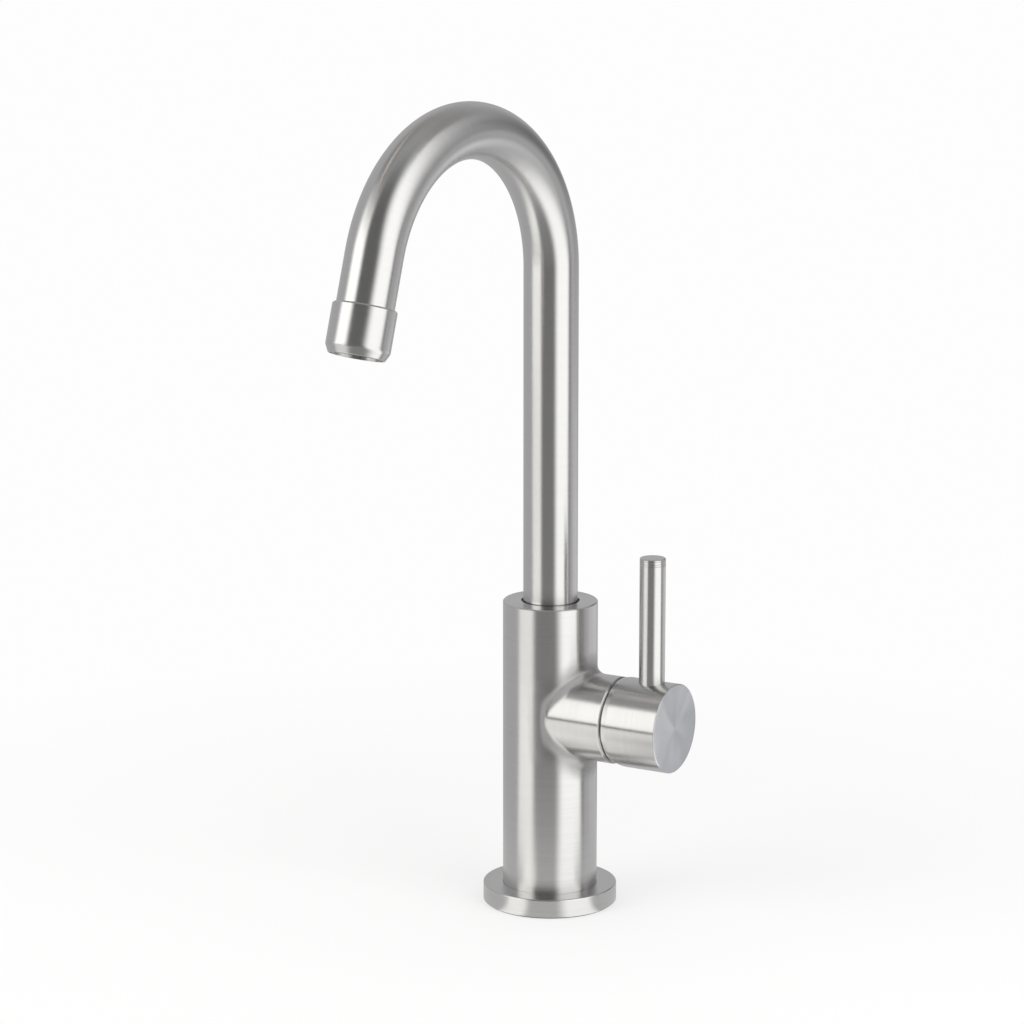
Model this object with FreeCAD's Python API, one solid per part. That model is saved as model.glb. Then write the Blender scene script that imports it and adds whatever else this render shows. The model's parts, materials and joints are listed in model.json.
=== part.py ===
import FreeCAD, Part
import math
import os

# Gooseneck bar faucet with a side lever, single-hole mounting, in brushed stainless steel.
# Millimetres. Origin: centre of the base on the deck. +Z up, spout towards -Y, handle towards +X.

V = FreeCAD.Vector
UP = V(0, 0, 1)
ACROSS = V(1, 0, 0)
CENTRE = V(0, 0, 0)

# ---------------------------------------------------------------- clearances
FIT = 0.05                  # fixed round fits, on the radius
RUN = 0.05                  # turning and sliding fits, on the radius or the face
SAME_POINT = 1e-6           # corners closer than this are one point
PRINT_DIGITS = 1            # decimals in the list that is printed at the end

# ---------------------------------------------------------------- base
FLANGE_WIDTH = 8.05         # how far the flange stands out past the body
FLANGE_TOP_Z = 8.0
FLANGE_LIFT = 0.5           # the metal stays this far above the deck, on the gasket
FLANGE_LEDGE = 2.5          # thickness of the inner ledge that the body stands on
FLANGE_LEDGE_REACH = 2.0    # how far the ledge reaches in under the body
FLANGE_ROUND = 0.6
FLANGE_FOOT_CHAMFER = 0.3
FLANGE_RIM = 0.85           # metal left outside the gasket
GASKET_WIDTH = 5.4
GASKET_THICK = 2.4

# ---------------------------------------------------------------- body
BODY_RADIUS = 19.2
BODY_WALL = 2.4
BODY_TOP_WALL = 3.5
BODY_TOP_CHAMFER = 0.4
NECK_GAP = 0.85             # black gap between the neck and the hole in the top of the body

# ---------------------------------------------------------------- branch
HANDLE_Z = 80.2             # height of the handle axis
BRANCH_WALL = 2.25
BRANCH_REACH = 32.5         # branch end, measured from the body axis
BRANCH_FILLET = 4.5
BRANCH_CHAMFER = 0.7

# ---------------------------------------------------------------- inlets and risers
INLET_BLOCK_HEIGHT = 18.0
STUD_HOLE_RADIUS = 3.4      # tapping size of an M8 thread
STUD_HOLE_DEPTH = 13.0
INLET_HOLE_RADIUS = 4.5     # tapping size of an M10 x 1 thread
INLET_HOLE_DEPTH = 10.0
INLET_WALL = 1.6            # metal between the stud thread and each inlet thread
RISER_RADIUS = 3.2
RISER_WALL = 0.7
RISER_SEAT = 4.0            # how deep a riser sits in a block
WATERWAY_X = -1.5           # all upright water ways lie in this plane
OUTLET_RISER_RADIUS = 4.2
OUTLET_RISER_WALL = 0.8
OUTLET_RISER_SEAT = 3.0
RISER_TOP_DROP = 7.0        # riser ends below the handle axis
OUTLET_RISER_RISE = 9.0     # outlet riser starts above the handle axis

# ---------------------------------------------------------------- valve cup
CUP_BACK_WALL = 1.3         # metal behind the outlet riser
CUP_BACK_GAP = 0.25         # between the corner of the cup's back and the bore of the body
CUP_STEP_X = 2.0
CUP_END_INSET = 1.5         # cup end behind the branch end
CUP_RIM_WALL = 1.3          # wall outside the nut's thread
CUP_THREAD_RUNOUT = 1.55    # thread bore past the foot of the nut

# ---------------------------------------------------------------- handle motion
PIVOT_OUT = 3.0             # tilt pivot, measured out from the branch end
TILT_DEG = 12.0             # full opening of the lever
STEM_ARM = 8.0              # pivot to the centre of the stem's ball

# ---------------------------------------------------------------- cartridge
CARTRIDGE_WALL = 1.5
GUIDE_SHOULDER = 1.9        # flange of the guide past its shaft
GUIDE_FLANGE_THICK = 1.6
GUIDE_NOSE = 1.6            # front of the guide, out from the pivot
GUIDE_LEG_LENGTH = 3.9
GUIDE_LEG_THICK = 2.5       # driving legs, at their middle
GUIDE_CARRIER_GAP = 0.2     # between the guide and the disc carrier
HOUSING_LIP_THICK = 0.8
HOUSING_LIP_REACH = 1.5     # lip in front of the guide, inwards from its shaft
HOUSING_SHOULDER = 1.5      # plastic above the guide flange that the nut bears on
SLOT_PLAY = 0.1             # beside the stem's block
SLOT_TILT_ROOM = 2.0        # above and below the stem's block
PIN_RADIUS = 1.25
BALL_RADIUS = 2.5
BALL_CLEARANCE = 0.12
BALL_FLOOR_GAP = 0.3        # behind the ball
CARRIER_PLAY = 0.53         # left beside the fully slid disc carrier
CARRIER_FLOOR = 1.2
CARRIER_COVER = 0.7         # carrier reaches this far past the centre of the ball
CARRIER_SIDE_PLAY = 0.1
LUG_RADIUS = 0.9
LUG_LENGTH = 1.0
LUG_OFFSET = 6.9
MOVING_DISC_THICK = 3.0
MIXING_RECESS_RADIUS = 5.0
MIXING_RECESS_DEPTH = 1.6
FIXED_DISC_THICK = 3.4
FIXED_DISC_RIM = 0.97       # ceramic outside the inlet ports
FIXED_DISC_GAP = 0.4        # between the fixed disc and the housing
CARTRIDGE_BASE_FLANGE = 3.0
CARTRIDGE_BASE_SPIGOT = 5.0
INLET_PORT_RADIUS = 2.2
INLET_PORT_ACROSS = 6.8     # inlet ports and risers, each side of the body axis
INLET_PORT_UP = 3.0
OUTLET_PORT_RADIUS = 2.4
OUTLET_PORT_DOWN = 3.0
SEAL_WIDTH = 1.1
SEAL_THICK = 1.3
SEAL_STANDOUT = 0.3
SEAL_MARGIN = 0.1
PEG_RADIUS = 1.1
PEG_LENGTH = 2.0
PEG_ACROSS = 7.0
PEG_DOWN = 7.2

# ---------------------------------------------------------------- cartridge nut and dome
NUT_WALL = 1.5
NUT_HEAD = 3.0
NUT_THREAD_LENGTH = 4.5
NUT_SLOT_WIDTH = 3.0
NUT_SLOT_DEPTH = 1.4
NUT_SLOTS = 6
DOME_STEP = 0.5             # dome radius is this much under the branch radius
DOME_BORE_GAP = 0.3         # between the dome's bore and the nut
DOME_SHOULDER = 1.4         # start of the inner cone, out from the pivot
DOME_THROAT = 3.9           # end of the inner cone, out from the pivot
DOME_NOSE = 4.7             # front of the dome, out from the pivot
DOME_NOSE_RADIUS = 11.0
DOME_BALL_END = 1.5         # the round zone of the dome ends here, out from the pivot
DOME_HOLE_RADIUS = 9.0

# ---------------------------------------------------------------- stem
STEM_NECK_RADIUS = 2.0
STEM_BLOCK_BACK = 4.5       # block around the pin, in from the pivot
STEM_BLOCK_FRONT = 3.2      # block around the pin, out from the pivot
STEM_BLOCK_HALF_WIDTH = 3.0
STEM_BLOCK_HALF_HEIGHT = 3.2
STEM_SQUARE_HALF = 4.0
STEM_SEAT_LENGTH = 8.7      # length of stem held in the hub

# ---------------------------------------------------------------- handle hub
SEAM_GAP = 0.7
SEAM_LEFT = 0.1             # gap left at the branch end when the lever is fully tilted
HUB_STEP = 0.35             # hub radius over branch radius
HUB_LENGTH = 24.15
HUB_SKIRT_PLAY = 0.15       # between the dome and the skirt of the hub
HUB_FLOOR = 7.8             # bottom of the hub's hollow, out from the pivot
HUB_RIM_TAPER = 2.2
HUB_RIM_DROP = 0.35
HUB_FACE_ROUND = 0.35
RELIEF_KNEE_UP = 7.0        # above the lowest line of the hub, where the relief turns into an arc
RELIEF_RADIUS = 10.3
RELIEF_OVERCUT = 1.0        # relief starts this far behind the rim
HUB_SOCKET_SPARE = 0.5

# ---------------------------------------------------------------- lever and its screw
LEVER_OUT = 14.3            # lever axis, out from the branch end
LEVER_RADIUS = 5.2
LEVER_TOP = 68.6            # above the handle axis
LEVER_SEAT_DEPTH = 1.0      # below the top of the hub
LEVER_STUD_RADIUS = 3.0
LEVER_STUD_STANDOFF = 2.0   # between the stud and the cartridge stem
LEVER_JOINT_CHAMFER = 0.15
TIP_HEIGHT = 5.2
TIP_GROOVE_UP = 0.9
TIP_GROOVE = 0.2
TIP_CHAMFER = 0.45
TIP_STUD_RADIUS = 2.5
TIP_STUD_LENGTH = 8.0
SCREW_RADIUS = 2.5
SCREW_RECESS = 5.0          # screw's outer end, in from the hub's surface
SCREW_KEY_RADIUS = 1.44     # corner radius of a 2.5 mm hexagon key
SCREW_KEY_SIDES = 6
SCREW_KEY_DEPTH = 2.5

# ---------------------------------------------------------------- spout socket
SOCKET_LIFT = 2.45          # between the valve cup and the socket
SOCKET_LENGTH = 24.6
SOCKET_FLOOR = 5.0
THRUST_THICK = 1.0
THRUST_LAP = 1.0            # washer inwards from the adapter's bore
GLIDE_RING_SET_BACK = 0.6   # ring top below the body top

# ---------------------------------------------------------------- spout
NECK_RADIUS = 11.0
NECK_WALL = 1.0
NECK_FOOT_LIFT = 0.4        # tube foot above the socket
NECK_RISE = 135.3           # straight neck above the body
BEND_RADIUS = 58.7
BEND_DEG = 162.8
SPOUT_END_LENGTH = 19.3     # straight run from the bend to the collar
SPOUT_REST_TURN_DEG = -4.6  # the spout stands a little to the left of the front
ADAPTER_WALL = 2.0
ADAPTER_SPIGOT = 10.0
O_RING_RADIUS = 0.9
O_RING_SQUEEZE_GAP = 0.03
O_RING_GROOVE_PLAY = 0.4    # groove width over ring width
O_RING_HEIGHTS = (4.5, 9.0)  # above the adapter's foot
CLIP_HEIGHT = 13.9           # above the adapter's foot
CLIP_THICK = 1.2
CLIP_IN = 0.95              # clip inwards from the socket's bore
CLIP_OUT = 0.75             # clip outwards from the socket's bore
CLIP_PLAY = 0.15
CLIP_OPENING_DEG = 50.0

# ---------------------------------------------------------------- aerator
COLLAR_STEP = 1.25          # collar radius over neck radius
COLLAR_WALL = 1.85
COLLAR_TAPER_LENGTH = 3.0
COLLAR_TAPER_DROP = 1.55
COLLAR_TIP_ROUND = 0.3
COLLAR_TOP_CHAMFER = 0.6
COLLAR_LIP_THICK = 1.2
COLLAR_LIP_WIDTH = 0.75
COLLAR_HOLD = 6.7            # length of tube held in the collar
SCREEN_THICK = 1.4
INSERT_HEIGHT = 6.7
FLOW_DISC_THICK = 1.5
WASHER_THICK = 1.5
WASHER_WIDTH = 2.2
SCREEN_HOLE_RADIUS = 0.7
SCREEN_HOLE_PITCH = 2.05
SCREEN_RIM = 1.3
INSERT_WALL = 1.3
INSERT_HUB_RADIUS = 2.6
INSERT_RIBS = 8
INSERT_RIB_THICK = 0.8
FLOW_HOLES = 12
FLOW_HOLE_RADIUS = 0.6
FLOW_HOLE_RING_RADIUS = 6.0

# ---------------------------------------------------------------- worked out once
BODY_BORE = BODY_RADIUS - BODY_WALL
BODY_FOOT_Z = FLANGE_LIFT + FLANGE_LEDGE
FLANGE_RADIUS = BODY_RADIUS + FLANGE_WIDTH

# the valve from its ports outwards: discs, housing, nut, cup and branch
FIXED_DISC_RADIUS = math.hypot(INLET_PORT_ACROSS, INLET_PORT_UP) + INLET_PORT_RADIUS + FIXED_DISC_RIM
HOUSING_BORE = FIXED_DISC_RADIUS + FIXED_DISC_GAP
CARTRIDGE_RADIUS = HOUSING_BORE + CARTRIDGE_WALL
NUT_RADIUS = CARTRIDGE_RADIUS + NUT_WALL
CUP_THREAD_RADIUS = NUT_RADIUS + FIT
CUP_RADIUS = CUP_THREAD_RADIUS + CUP_RIM_WALL
BRANCH_BORE = CUP_RADIUS + FIT
BRANCH_RADIUS = BRANCH_BORE + BRANCH_WALL
GUIDE_RADIUS = HOUSING_BORE - GUIDE_SHOULDER
GUIDE_LEG_INNER = HOUSING_BORE - GUIDE_LEG_THICK
HOUSING_LIP_RADIUS = GUIDE_RADIUS - HOUSING_LIP_REACH
HOUSING_NOSE_RADIUS = GUIDE_RADIUS + RUN + CARTRIDGE_WALL
DISC_TRAVEL = STEM_ARM * math.radians(TILT_DEG)
CARRIER_RADIUS = HOUSING_BORE - DISC_TRAVEL - CARRIER_PLAY
SLOT_HALF_WIDTH = STEM_BLOCK_HALF_WIDTH + SLOT_PLAY
SLOT_HALF_HEIGHT = STEM_BLOCK_HALF_HEIGHT + SLOT_TILT_ROOM
PORTS = (
    (-INLET_PORT_ACROSS, INLET_PORT_UP, INLET_PORT_RADIUS),
    (INLET_PORT_ACROSS, INLET_PORT_UP, INLET_PORT_RADIUS),
    (0.0, -OUTLET_PORT_DOWN, OUTLET_PORT_RADIUS),
)

# the valve along the handle axis, from the pivot inwards
PIVOT_X = BRANCH_REACH + PIVOT_OUT
BALL_X = PIVOT_X - STEM_ARM
CARRIER_BACK_X = BALL_X - BALL_RADIUS - BALL_FLOOR_GAP - CARRIER_FLOOR
CARRIER_FRONT_X = BALL_X + CARRIER_COVER
GUIDE_FOOT_X = CARRIER_FRONT_X + GUIDE_CARRIER_GAP
GUIDE_STEP_X = GUIDE_FOOT_X + GUIDE_FLANGE_THICK
GUIDE_FRONT_X = PIVOT_X + GUIDE_NOSE
HOUSING_STEP_X = GUIDE_STEP_X + RUN
NUT_SEAT_X = HOUSING_STEP_X + HOUSING_SHOULDER
NUT_FOOT_X = NUT_SEAT_X - NUT_THREAD_LENGTH
HOUSING_LIP_X = GUIDE_FRONT_X + 2 * RUN
HOUSING_FRONT_X = HOUSING_LIP_X + HOUSING_LIP_THICK
MOVING_DISC_BACK_X = CARRIER_BACK_X - MOVING_DISC_THICK
FIXED_DISC_FRONT_X = MOVING_DISC_BACK_X - RUN
FIXED_DISC_BACK_X = FIXED_DISC_FRONT_X - FIXED_DISC_THICK
HOUSING_BACK_X = FIXED_DISC_BACK_X - CARTRIDGE_BASE_SPIGOT
CARTRIDGE_BACK_X = HOUSING_BACK_X - CARTRIDGE_BASE_FLANGE
CUP_FLOOR_X = CARTRIDGE_BACK_X - SEAL_STANDOUT
CUP_END_X = BRANCH_REACH - CUP_END_INSET
CUP_THREAD_X = NUT_FOOT_X - CUP_THREAD_RUNOUT
CUP_BACK_X = WATERWAY_X - OUTLET_RISER_RADIUS - CUP_BACK_WALL
CUP_BACK_RADIUS = math.sqrt((BODY_BORE - CUP_BACK_GAP) ** 2 - CUP_BACK_X ** 2)

# the body from the handle axis up: cup, spout socket, top wall, neck
SOCKET_FOOT_Z = HANDLE_Z + CUP_RADIUS + SOCKET_LIFT
SOCKET_TOP_Z = SOCKET_FOOT_Z + SOCKET_LENGTH
SOCKET_FLOOR_Z = SOCKET_FOOT_Z + SOCKET_FLOOR
BODY_TOP_Z = SOCKET_TOP_Z + BODY_TOP_WALL
BEND_CENTRE_Z = BODY_TOP_Z + NECK_RISE
NECK_BORE = NECK_RADIUS - NECK_WALL
NECK_FOOT_Z = SOCKET_TOP_Z + NECK_FOOT_LIFT
TOP_HOLE_RADIUS = NECK_RADIUS + NECK_GAP
SOCKET_BORE_RADIUS = NECK_RADIUS - RUN
ADAPTER_FOOT_Z = SOCKET_FLOOR_Z + THRUST_THICK + RUN
ADAPTER_RADIUS = SOCKET_BORE_RADIUS - RUN
ADAPTER_BORE_RADIUS = NECK_BORE - ADAPTER_WALL
THRUST_BORE_RADIUS = ADAPTER_BORE_RADIUS - THRUST_LAP
CLIP_INNER_RADIUS = SOCKET_BORE_RADIUS - CLIP_IN
CLIP_OUTER_RADIUS = SOCKET_BORE_RADIUS + CLIP_OUT

# inlets and risers
INLET_SPREAD = STUD_HOLE_RADIUS + INLET_WALL + INLET_HOLE_RADIUS
RISER_FOOT_Z = INLET_BLOCK_HEIGHT - RISER_SEAT
RISER_TOP_Z = HANDLE_Z - RISER_TOP_DROP
RISER_BORE = RISER_RADIUS - RISER_WALL
OUTLET_RISER_BORE = OUTLET_RISER_RADIUS - OUTLET_RISER_WALL
OUTLET_RISER_FOOT_Z = HANDLE_Z + OUTLET_RISER_RISE
OUTLET_RISER_TOP_Z = SOCKET_FOOT_Z + OUTLET_RISER_SEAT

# dome, hub and lever
DOME_RADIUS = BRANCH_RADIUS - DOME_STEP
DOME_BORE = NUT_RADIUS + DOME_BORE_GAP
HUB_RADIUS = BRANCH_RADIUS + HUB_STEP
HUB_RIM_X = BRANCH_REACH + SEAM_GAP
HUB_FACE_X = HUB_RIM_X + HUB_LENGTH
HUB_HOLLOW_RADIUS = DOME_RADIUS + HUB_SKIRT_PLAY
HUB_FLOOR_X = PIVOT_X + HUB_FLOOR
STEM_END_X = HUB_FLOOR_X + STEM_SEAT_LENGTH
LEVER_X = BRANCH_REACH + LEVER_OUT
LEVER_SEAT_UP = HUB_RADIUS - LEVER_SEAT_DEPTH
LEVER_STUD_FOOT_UP = STEM_SQUARE_HALF + LEVER_STUD_STANDOFF
TIP_FOOT_UP = LEVER_TOP - TIP_HEIGHT
SCREW_HEAD_DOWN = HUB_RADIUS - SCREW_RECESS

# collar, upwards from its mouth
COLLAR_RADIUS = NECK_RADIUS + COLLAR_STEP
COLLAR_MOUTH_RADIUS = COLLAR_RADIUS - COLLAR_TAPER_DROP - COLLAR_LIP_WIDTH
AERATOR_RADIUS = COLLAR_RADIUS - COLLAR_WALL
WASHER_BORE_RADIUS = AERATOR_RADIUS - WASHER_WIDTH
INSERT_UP = COLLAR_LIP_THICK + SCREEN_THICK
FLOW_DISC_UP = INSERT_UP + INSERT_HEIGHT
WASHER_UP = FLOW_DISC_UP + FLOW_DISC_THICK
TUBE_END_UP = WASHER_UP + WASHER_THICK
COLLAR_LENGTH = TUBE_END_UP + COLLAR_HOLD


# ---------------------------------------------------------------- drawing helpers
def outline(corners):
    """Closed face in the XZ plane through (radius, height) corners.

    A third value in a corner rounds that corner with that radius.
    """
    points = [V(corner[0], 0, corner[1]) for corner in corners]
    count = len(points)
    starts = []
    ends = []
    middles = []
    for i, corner in enumerate(corners):
        here = points[i]
        back = (points[i - 1] - here).normalize()
        ahead = (points[(i + 1) % count] - here).normalize()
        rounding = corner[2] if len(corner) > 2 else 0.0
        if rounding == 0.0:
            starts.append(here)
            ends.append(here)
            middles.append(None)
            continue
        half = back.getAngle(ahead) / 2
        trim = rounding / math.tan(half)
        inward = (back + ahead).normalize()
        starts.append(here + back * trim)
        ends.append(here + ahead * trim)
        middles.append(here + inward * (rounding / math.sin(half) - rounding))
    edges = []
    for i in range(count):
        if middles[i] is not None:
            edges.append(Part.Arc(starts[i], middles[i], ends[i]).toShape())
        start = ends[i]
        end = starts[(i + 1) % count]
        if start.distanceToPoint(end) > SAME_POINT:
            edges.append(Part.LineSegment(start, end).toShape())
    return Part.Face(Part.Wire(edges))


def turned(corners):
    """Solid of revolution about Z from (radius, height) corners."""
    return outline(corners).revolve(CENTRE, UP, 360)


def rod(radius, low, high, x=0.0, y=0.0):
    """Round bar along Z between two heights."""
    return Part.makeCylinder(radius, high - low, V(x, y, low), UP)


def bar(radius, start, end):
    """Round bar between two points."""
    run = end - start
    return Part.makeCylinder(radius, run.Length, start, run)


def ring(outer, inner, low, high):
    """Plain ring about Z."""
    return rod(outer, low, high).cut(rod(inner, low, high))


def block(low, high):
    """Box between two corners."""
    size = high - low
    return Part.makeBox(size.x, size.y, size.z, low)


def cut_all(shape, tools):
    """Shape with every tool taken away."""
    for tool in tools:
        shape = shape.cut(tool)
    return shape


def moved(shape, placement):
    """Copy of a shape at a placement."""
    copy = shape.copy()
    copy.Placement = placement.multiply(copy.Placement)
    return copy


def on_handle_axis(shape):
    """Place a piece drawn along Z on the handle axis: Z turns to +X, X to +Y and Y to +Z."""
    return moved(shape, FreeCAD.Placement(V(0, 0, HANDLE_Z), FreeCAD.Rotation(V(1, 1, 1), 120)))


def on_lever_axis(shape):
    """Place a piece drawn along Z from the handle axis onto the lever axis."""
    return moved(shape, FreeCAD.Placement(V(LEVER_X, 0, HANDLE_Z), FreeCAD.Rotation()))


def with_spout(shape):
    """Turn a spout piece to the spout's place at rest."""
    return moved(shape, FreeCAD.Placement(CENTRE, FreeCAD.Rotation(UP, SPOUT_REST_TURN_DEG)))


def spout_flow():
    """Direction of the water at the mouth, before the rest turn."""
    turn = math.radians(BEND_DEG)
    return V(0, -math.sin(turn), math.cos(turn))


def bend_end():
    """End of the bend on the centre line, before the rest turn."""
    turn = math.radians(BEND_DEG)
    return V(0, -BEND_RADIUS * (1 - math.cos(turn)), BEND_CENTRE_Z + BEND_RADIUS * math.sin(turn))


def at_outlet(shape):
    """Place a piece drawn up from the mouth of the collar onto the end of the spout."""
    mouth = bend_end() + spout_flow() * (SPOUT_END_LENGTH + COLLAR_LENGTH)
    lean = FreeCAD.Rotation(ACROSS, BEND_DEG - 180)
    return with_spout(moved(shape, FreeCAD.Placement(mouth, lean)))


# ---------------------------------------------------------------- base and body
def base_gasket():
    outer = FLANGE_RADIUS - FLANGE_RIM
    return ring(outer, outer - GASKET_WIDTH, 0, GASKET_THICK)


def base_flange():
    hole = BODY_RADIUS + FIT
    ledge = BODY_RADIUS - FLANGE_LEDGE_REACH
    recess_outer = FLANGE_RADIUS - FLANGE_RIM + FIT
    recess_inner = recess_outer - GASKET_WIDTH - 2 * FIT
    return turned([
        (ledge, FLANGE_LIFT),
        (recess_inner, FLANGE_LIFT),
        (recess_inner, GASKET_THICK),
        (recess_outer, GASKET_THICK),
        (recess_outer, FLANGE_LIFT),
        (FLANGE_RADIUS - FLANGE_FOOT_CHAMFER, FLANGE_LIFT),
        (FLANGE_RADIUS, FLANGE_LIFT + FLANGE_FOOT_CHAMFER),
        (FLANGE_RADIUS, FLANGE_TOP_Z, FLANGE_ROUND),
        (hole, FLANGE_TOP_Z),
        (hole, BODY_FOOT_Z),
        (ledge, BODY_FOOT_Z),
    ])


def body_outside():
    """Body column and branch, blended where they meet."""
    column = turned([
        (0, BODY_FOOT_Z),
        (BODY_RADIUS, BODY_FOOT_Z),
        (BODY_RADIUS, BODY_TOP_Z - BODY_TOP_CHAMFER),
        (BODY_RADIUS - BODY_TOP_CHAMFER, BODY_TOP_Z),
        (0, BODY_TOP_Z),
    ])
    branch = on_handle_axis(turned([
        (0, 0),
        (BRANCH_RADIUS, 0),
        (BRANCH_RADIUS, BRANCH_REACH - BRANCH_CHAMFER),
        (BRANCH_RADIUS - BRANCH_CHAMFER, BRANCH_REACH),
        (0, BRANCH_REACH),
    ]))
    joined = column.fuse(branch)
    seam = [edge for edge in joined.Edges if edge.Curve.TypeId == "Part::GeomBSplineCurve"]
    return joined.makeFillet(BRANCH_FILLET, seam)


def body_shell():
    return cut_all(body_outside(), [
        rod(BODY_BORE, BODY_FOOT_Z, SOCKET_TOP_Z),
        rod(TOP_HOLE_RADIUS, SOCKET_TOP_Z, BODY_TOP_Z),
        on_handle_axis(rod(BRANCH_BORE, 0, BRANCH_REACH)),
    ])


def inlet_block():
    tools = [rod(STUD_HOLE_RADIUS, 0, STUD_HOLE_DEPTH)]
    for side in (-1, 1):
        tools.append(rod(INLET_HOLE_RADIUS, 0, INLET_HOLE_DEPTH, WATERWAY_X, side * INLET_SPREAD))
        tools.append(rod(RISER_BORE, INLET_HOLE_DEPTH, RISER_FOOT_Z, WATERWAY_X, side * INLET_PORT_ACROSS))
        tools.append(rod(RISER_RADIUS + FIT, RISER_FOOT_Z, INLET_BLOCK_HEIGHT,
                         WATERWAY_X, side * INLET_PORT_ACROSS))
    return cut_all(rod(BODY_BORE - FIT, 0, INLET_BLOCK_HEIGHT), tools)


def riser(side):
    """Water tube from the inlet block to the valve cup, on one side."""
    y = side * INLET_PORT_ACROSS
    outer = rod(RISER_RADIUS, RISER_FOOT_Z, RISER_TOP_Z, WATERWAY_X, y)
    return outer.cut(rod(RISER_BORE, RISER_FOOT_Z, RISER_TOP_Z, WATERWAY_X, y))


def hot_riser():
    return riser(-1)


def cold_riser():
    return riser(1)


def outlet_riser():
    outer = rod(OUTLET_RISER_RADIUS, OUTLET_RISER_FOOT_Z, OUTLET_RISER_TOP_Z, WATERWAY_X)
    return outer.cut(rod(OUTLET_RISER_BORE, OUTLET_RISER_FOOT_Z, OUTLET_RISER_TOP_Z, WATERWAY_X))


# ---------------------------------------------------------------- valve, drawn along the handle axis
def upright_way(radius, across, low, high):
    """Upright bore through the valve cup, with heights from the handle axis."""
    return bar(radius, V(across, low, WATERWAY_X), V(across, high, WATERWAY_X))


def valve_cup():
    shape = turned([
        (0, CUP_BACK_X),
        (CUP_BACK_RADIUS, CUP_BACK_X),
        (CUP_BACK_RADIUS, CUP_STEP_X),
        (CUP_RADIUS, CUP_STEP_X),
        (CUP_RADIUS, CUP_END_X),
        (CUP_THREAD_RADIUS, CUP_END_X),
        (CUP_THREAD_RADIUS, CUP_THREAD_X),
        (CARTRIDGE_RADIUS + FIT, CUP_THREAD_X),
        (CARTRIDGE_RADIUS + FIT, CUP_FLOOR_X),
        (0, CUP_FLOOR_X),
    ])
    below = -2 * CUP_RADIUS
    tools = [rod(radius, WATERWAY_X, CUP_FLOOR_X, x, y) for x, y, radius in PORTS]
    for side in (-1, 1):
        across = side * INLET_PORT_ACROSS
        tools.append(upright_way(RISER_BORE, across, -RISER_TOP_DROP, INLET_PORT_UP))
        tools.append(upright_way(RISER_RADIUS + FIT, across, below, -RISER_TOP_DROP))
        tools.append(rod(PEG_RADIUS + FIT, CUP_FLOOR_X - PEG_LENGTH - FIT, CUP_FLOOR_X,
                         side * PEG_ACROSS, -PEG_DOWN))
    tools.append(upright_way(OUTLET_RISER_BORE, 0, -OUTLET_PORT_DOWN, OUTLET_RISER_RISE))
    tools.append(upright_way(OUTLET_RISER_RADIUS + FIT, 0, OUTLET_RISER_RISE, -below))
    return on_handle_axis(cut_all(shape, tools))


def cartridge_base():
    shape = turned([
        (0, CARTRIDGE_BACK_X),
        (CARTRIDGE_RADIUS, CARTRIDGE_BACK_X),
        (CARTRIDGE_RADIUS, HOUSING_BACK_X),
        (HOUSING_BORE - FIT, HOUSING_BACK_X),
        (HOUSING_BORE - FIT, FIXED_DISC_BACK_X),
        (0, FIXED_DISC_BACK_X),
    ])
    recess_top = CARTRIDGE_BACK_X - SEAL_STANDOUT + SEAL_THICK
    for x, y, radius in PORTS:
        shape = shape.cut(rod(radius, CARTRIDGE_BACK_X, FIXED_DISC_BACK_X, x, y))
        wide = radius + SEAL_MARGIN + SEAL_WIDTH
        shape = shape.cut(rod(wide + FIT, CARTRIDGE_BACK_X, recess_top, x, y))
    for side in (-1, 1):
        peg = rod(PEG_RADIUS, CUP_FLOOR_X - PEG_LENGTH, HOUSING_BACK_X, side * PEG_ACROSS, -PEG_DOWN)
        shape = shape.fuse(peg)
    return on_handle_axis(shape.removeSplitter())


def port_seals():
    seals = []
    for x, y, radius in PORTS:
        inner = radius + SEAL_MARGIN
        seal = ring(inner + SEAL_WIDTH, inner, CUP_FLOOR_X, CUP_FLOOR_X + SEAL_THICK)
        seal.translate(V(x, y, 0))
        seals.append(on_handle_axis(seal))
    return Part.makeCompound(seals)


def fixed_disc():
    shape = rod(FIXED_DISC_RADIUS, FIXED_DISC_BACK_X, FIXED_DISC_FRONT_X)
    holes = [rod(radius, FIXED_DISC_BACK_X, FIXED_DISC_FRONT_X, x, y) for x, y, radius in PORTS]
    return on_handle_axis(cut_all(shape, holes))


def lug_places():
    return [(0.0, LUG_OFFSET), (0.0, -LUG_OFFSET)]


def moving_disc():
    shape = rod(CARRIER_RADIUS, MOVING_DISC_BACK_X, CARRIER_BACK_X)
    tools = [rod(MIXING_RECESS_RADIUS, MOVING_DISC_BACK_X, MOVING_DISC_BACK_X + MIXING_RECESS_DEPTH)]
    for x, y in lug_places():
        tools.append(rod(LUG_RADIUS + FIT, CARRIER_BACK_X - LUG_LENGTH - FIT, CARRIER_BACK_X, x, y))
    return on_handle_axis(cut_all(shape, tools))


def disc_carrier():
    shape = rod(CARRIER_RADIUS, CARRIER_BACK_X, CARRIER_FRONT_X)
    flat = GUIDE_LEG_INNER - CARRIER_SIDE_PLAY
    wide = block(V(-flat, -CARRIER_RADIUS, CARRIER_BACK_X), V(flat, CARRIER_RADIUS, CARRIER_FRONT_X))
    shape = shape.common(wide)
    shape = shape.cut(rod(BALL_RADIUS + BALL_CLEARANCE, CARRIER_BACK_X + CARRIER_FLOOR, CARRIER_FRONT_X))
    for x, y in lug_places():
        shape = shape.fuse(rod(LUG_RADIUS, CARRIER_BACK_X - LUG_LENGTH, CARRIER_BACK_X, x, y))
    return on_handle_axis(shape.removeSplitter())


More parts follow.
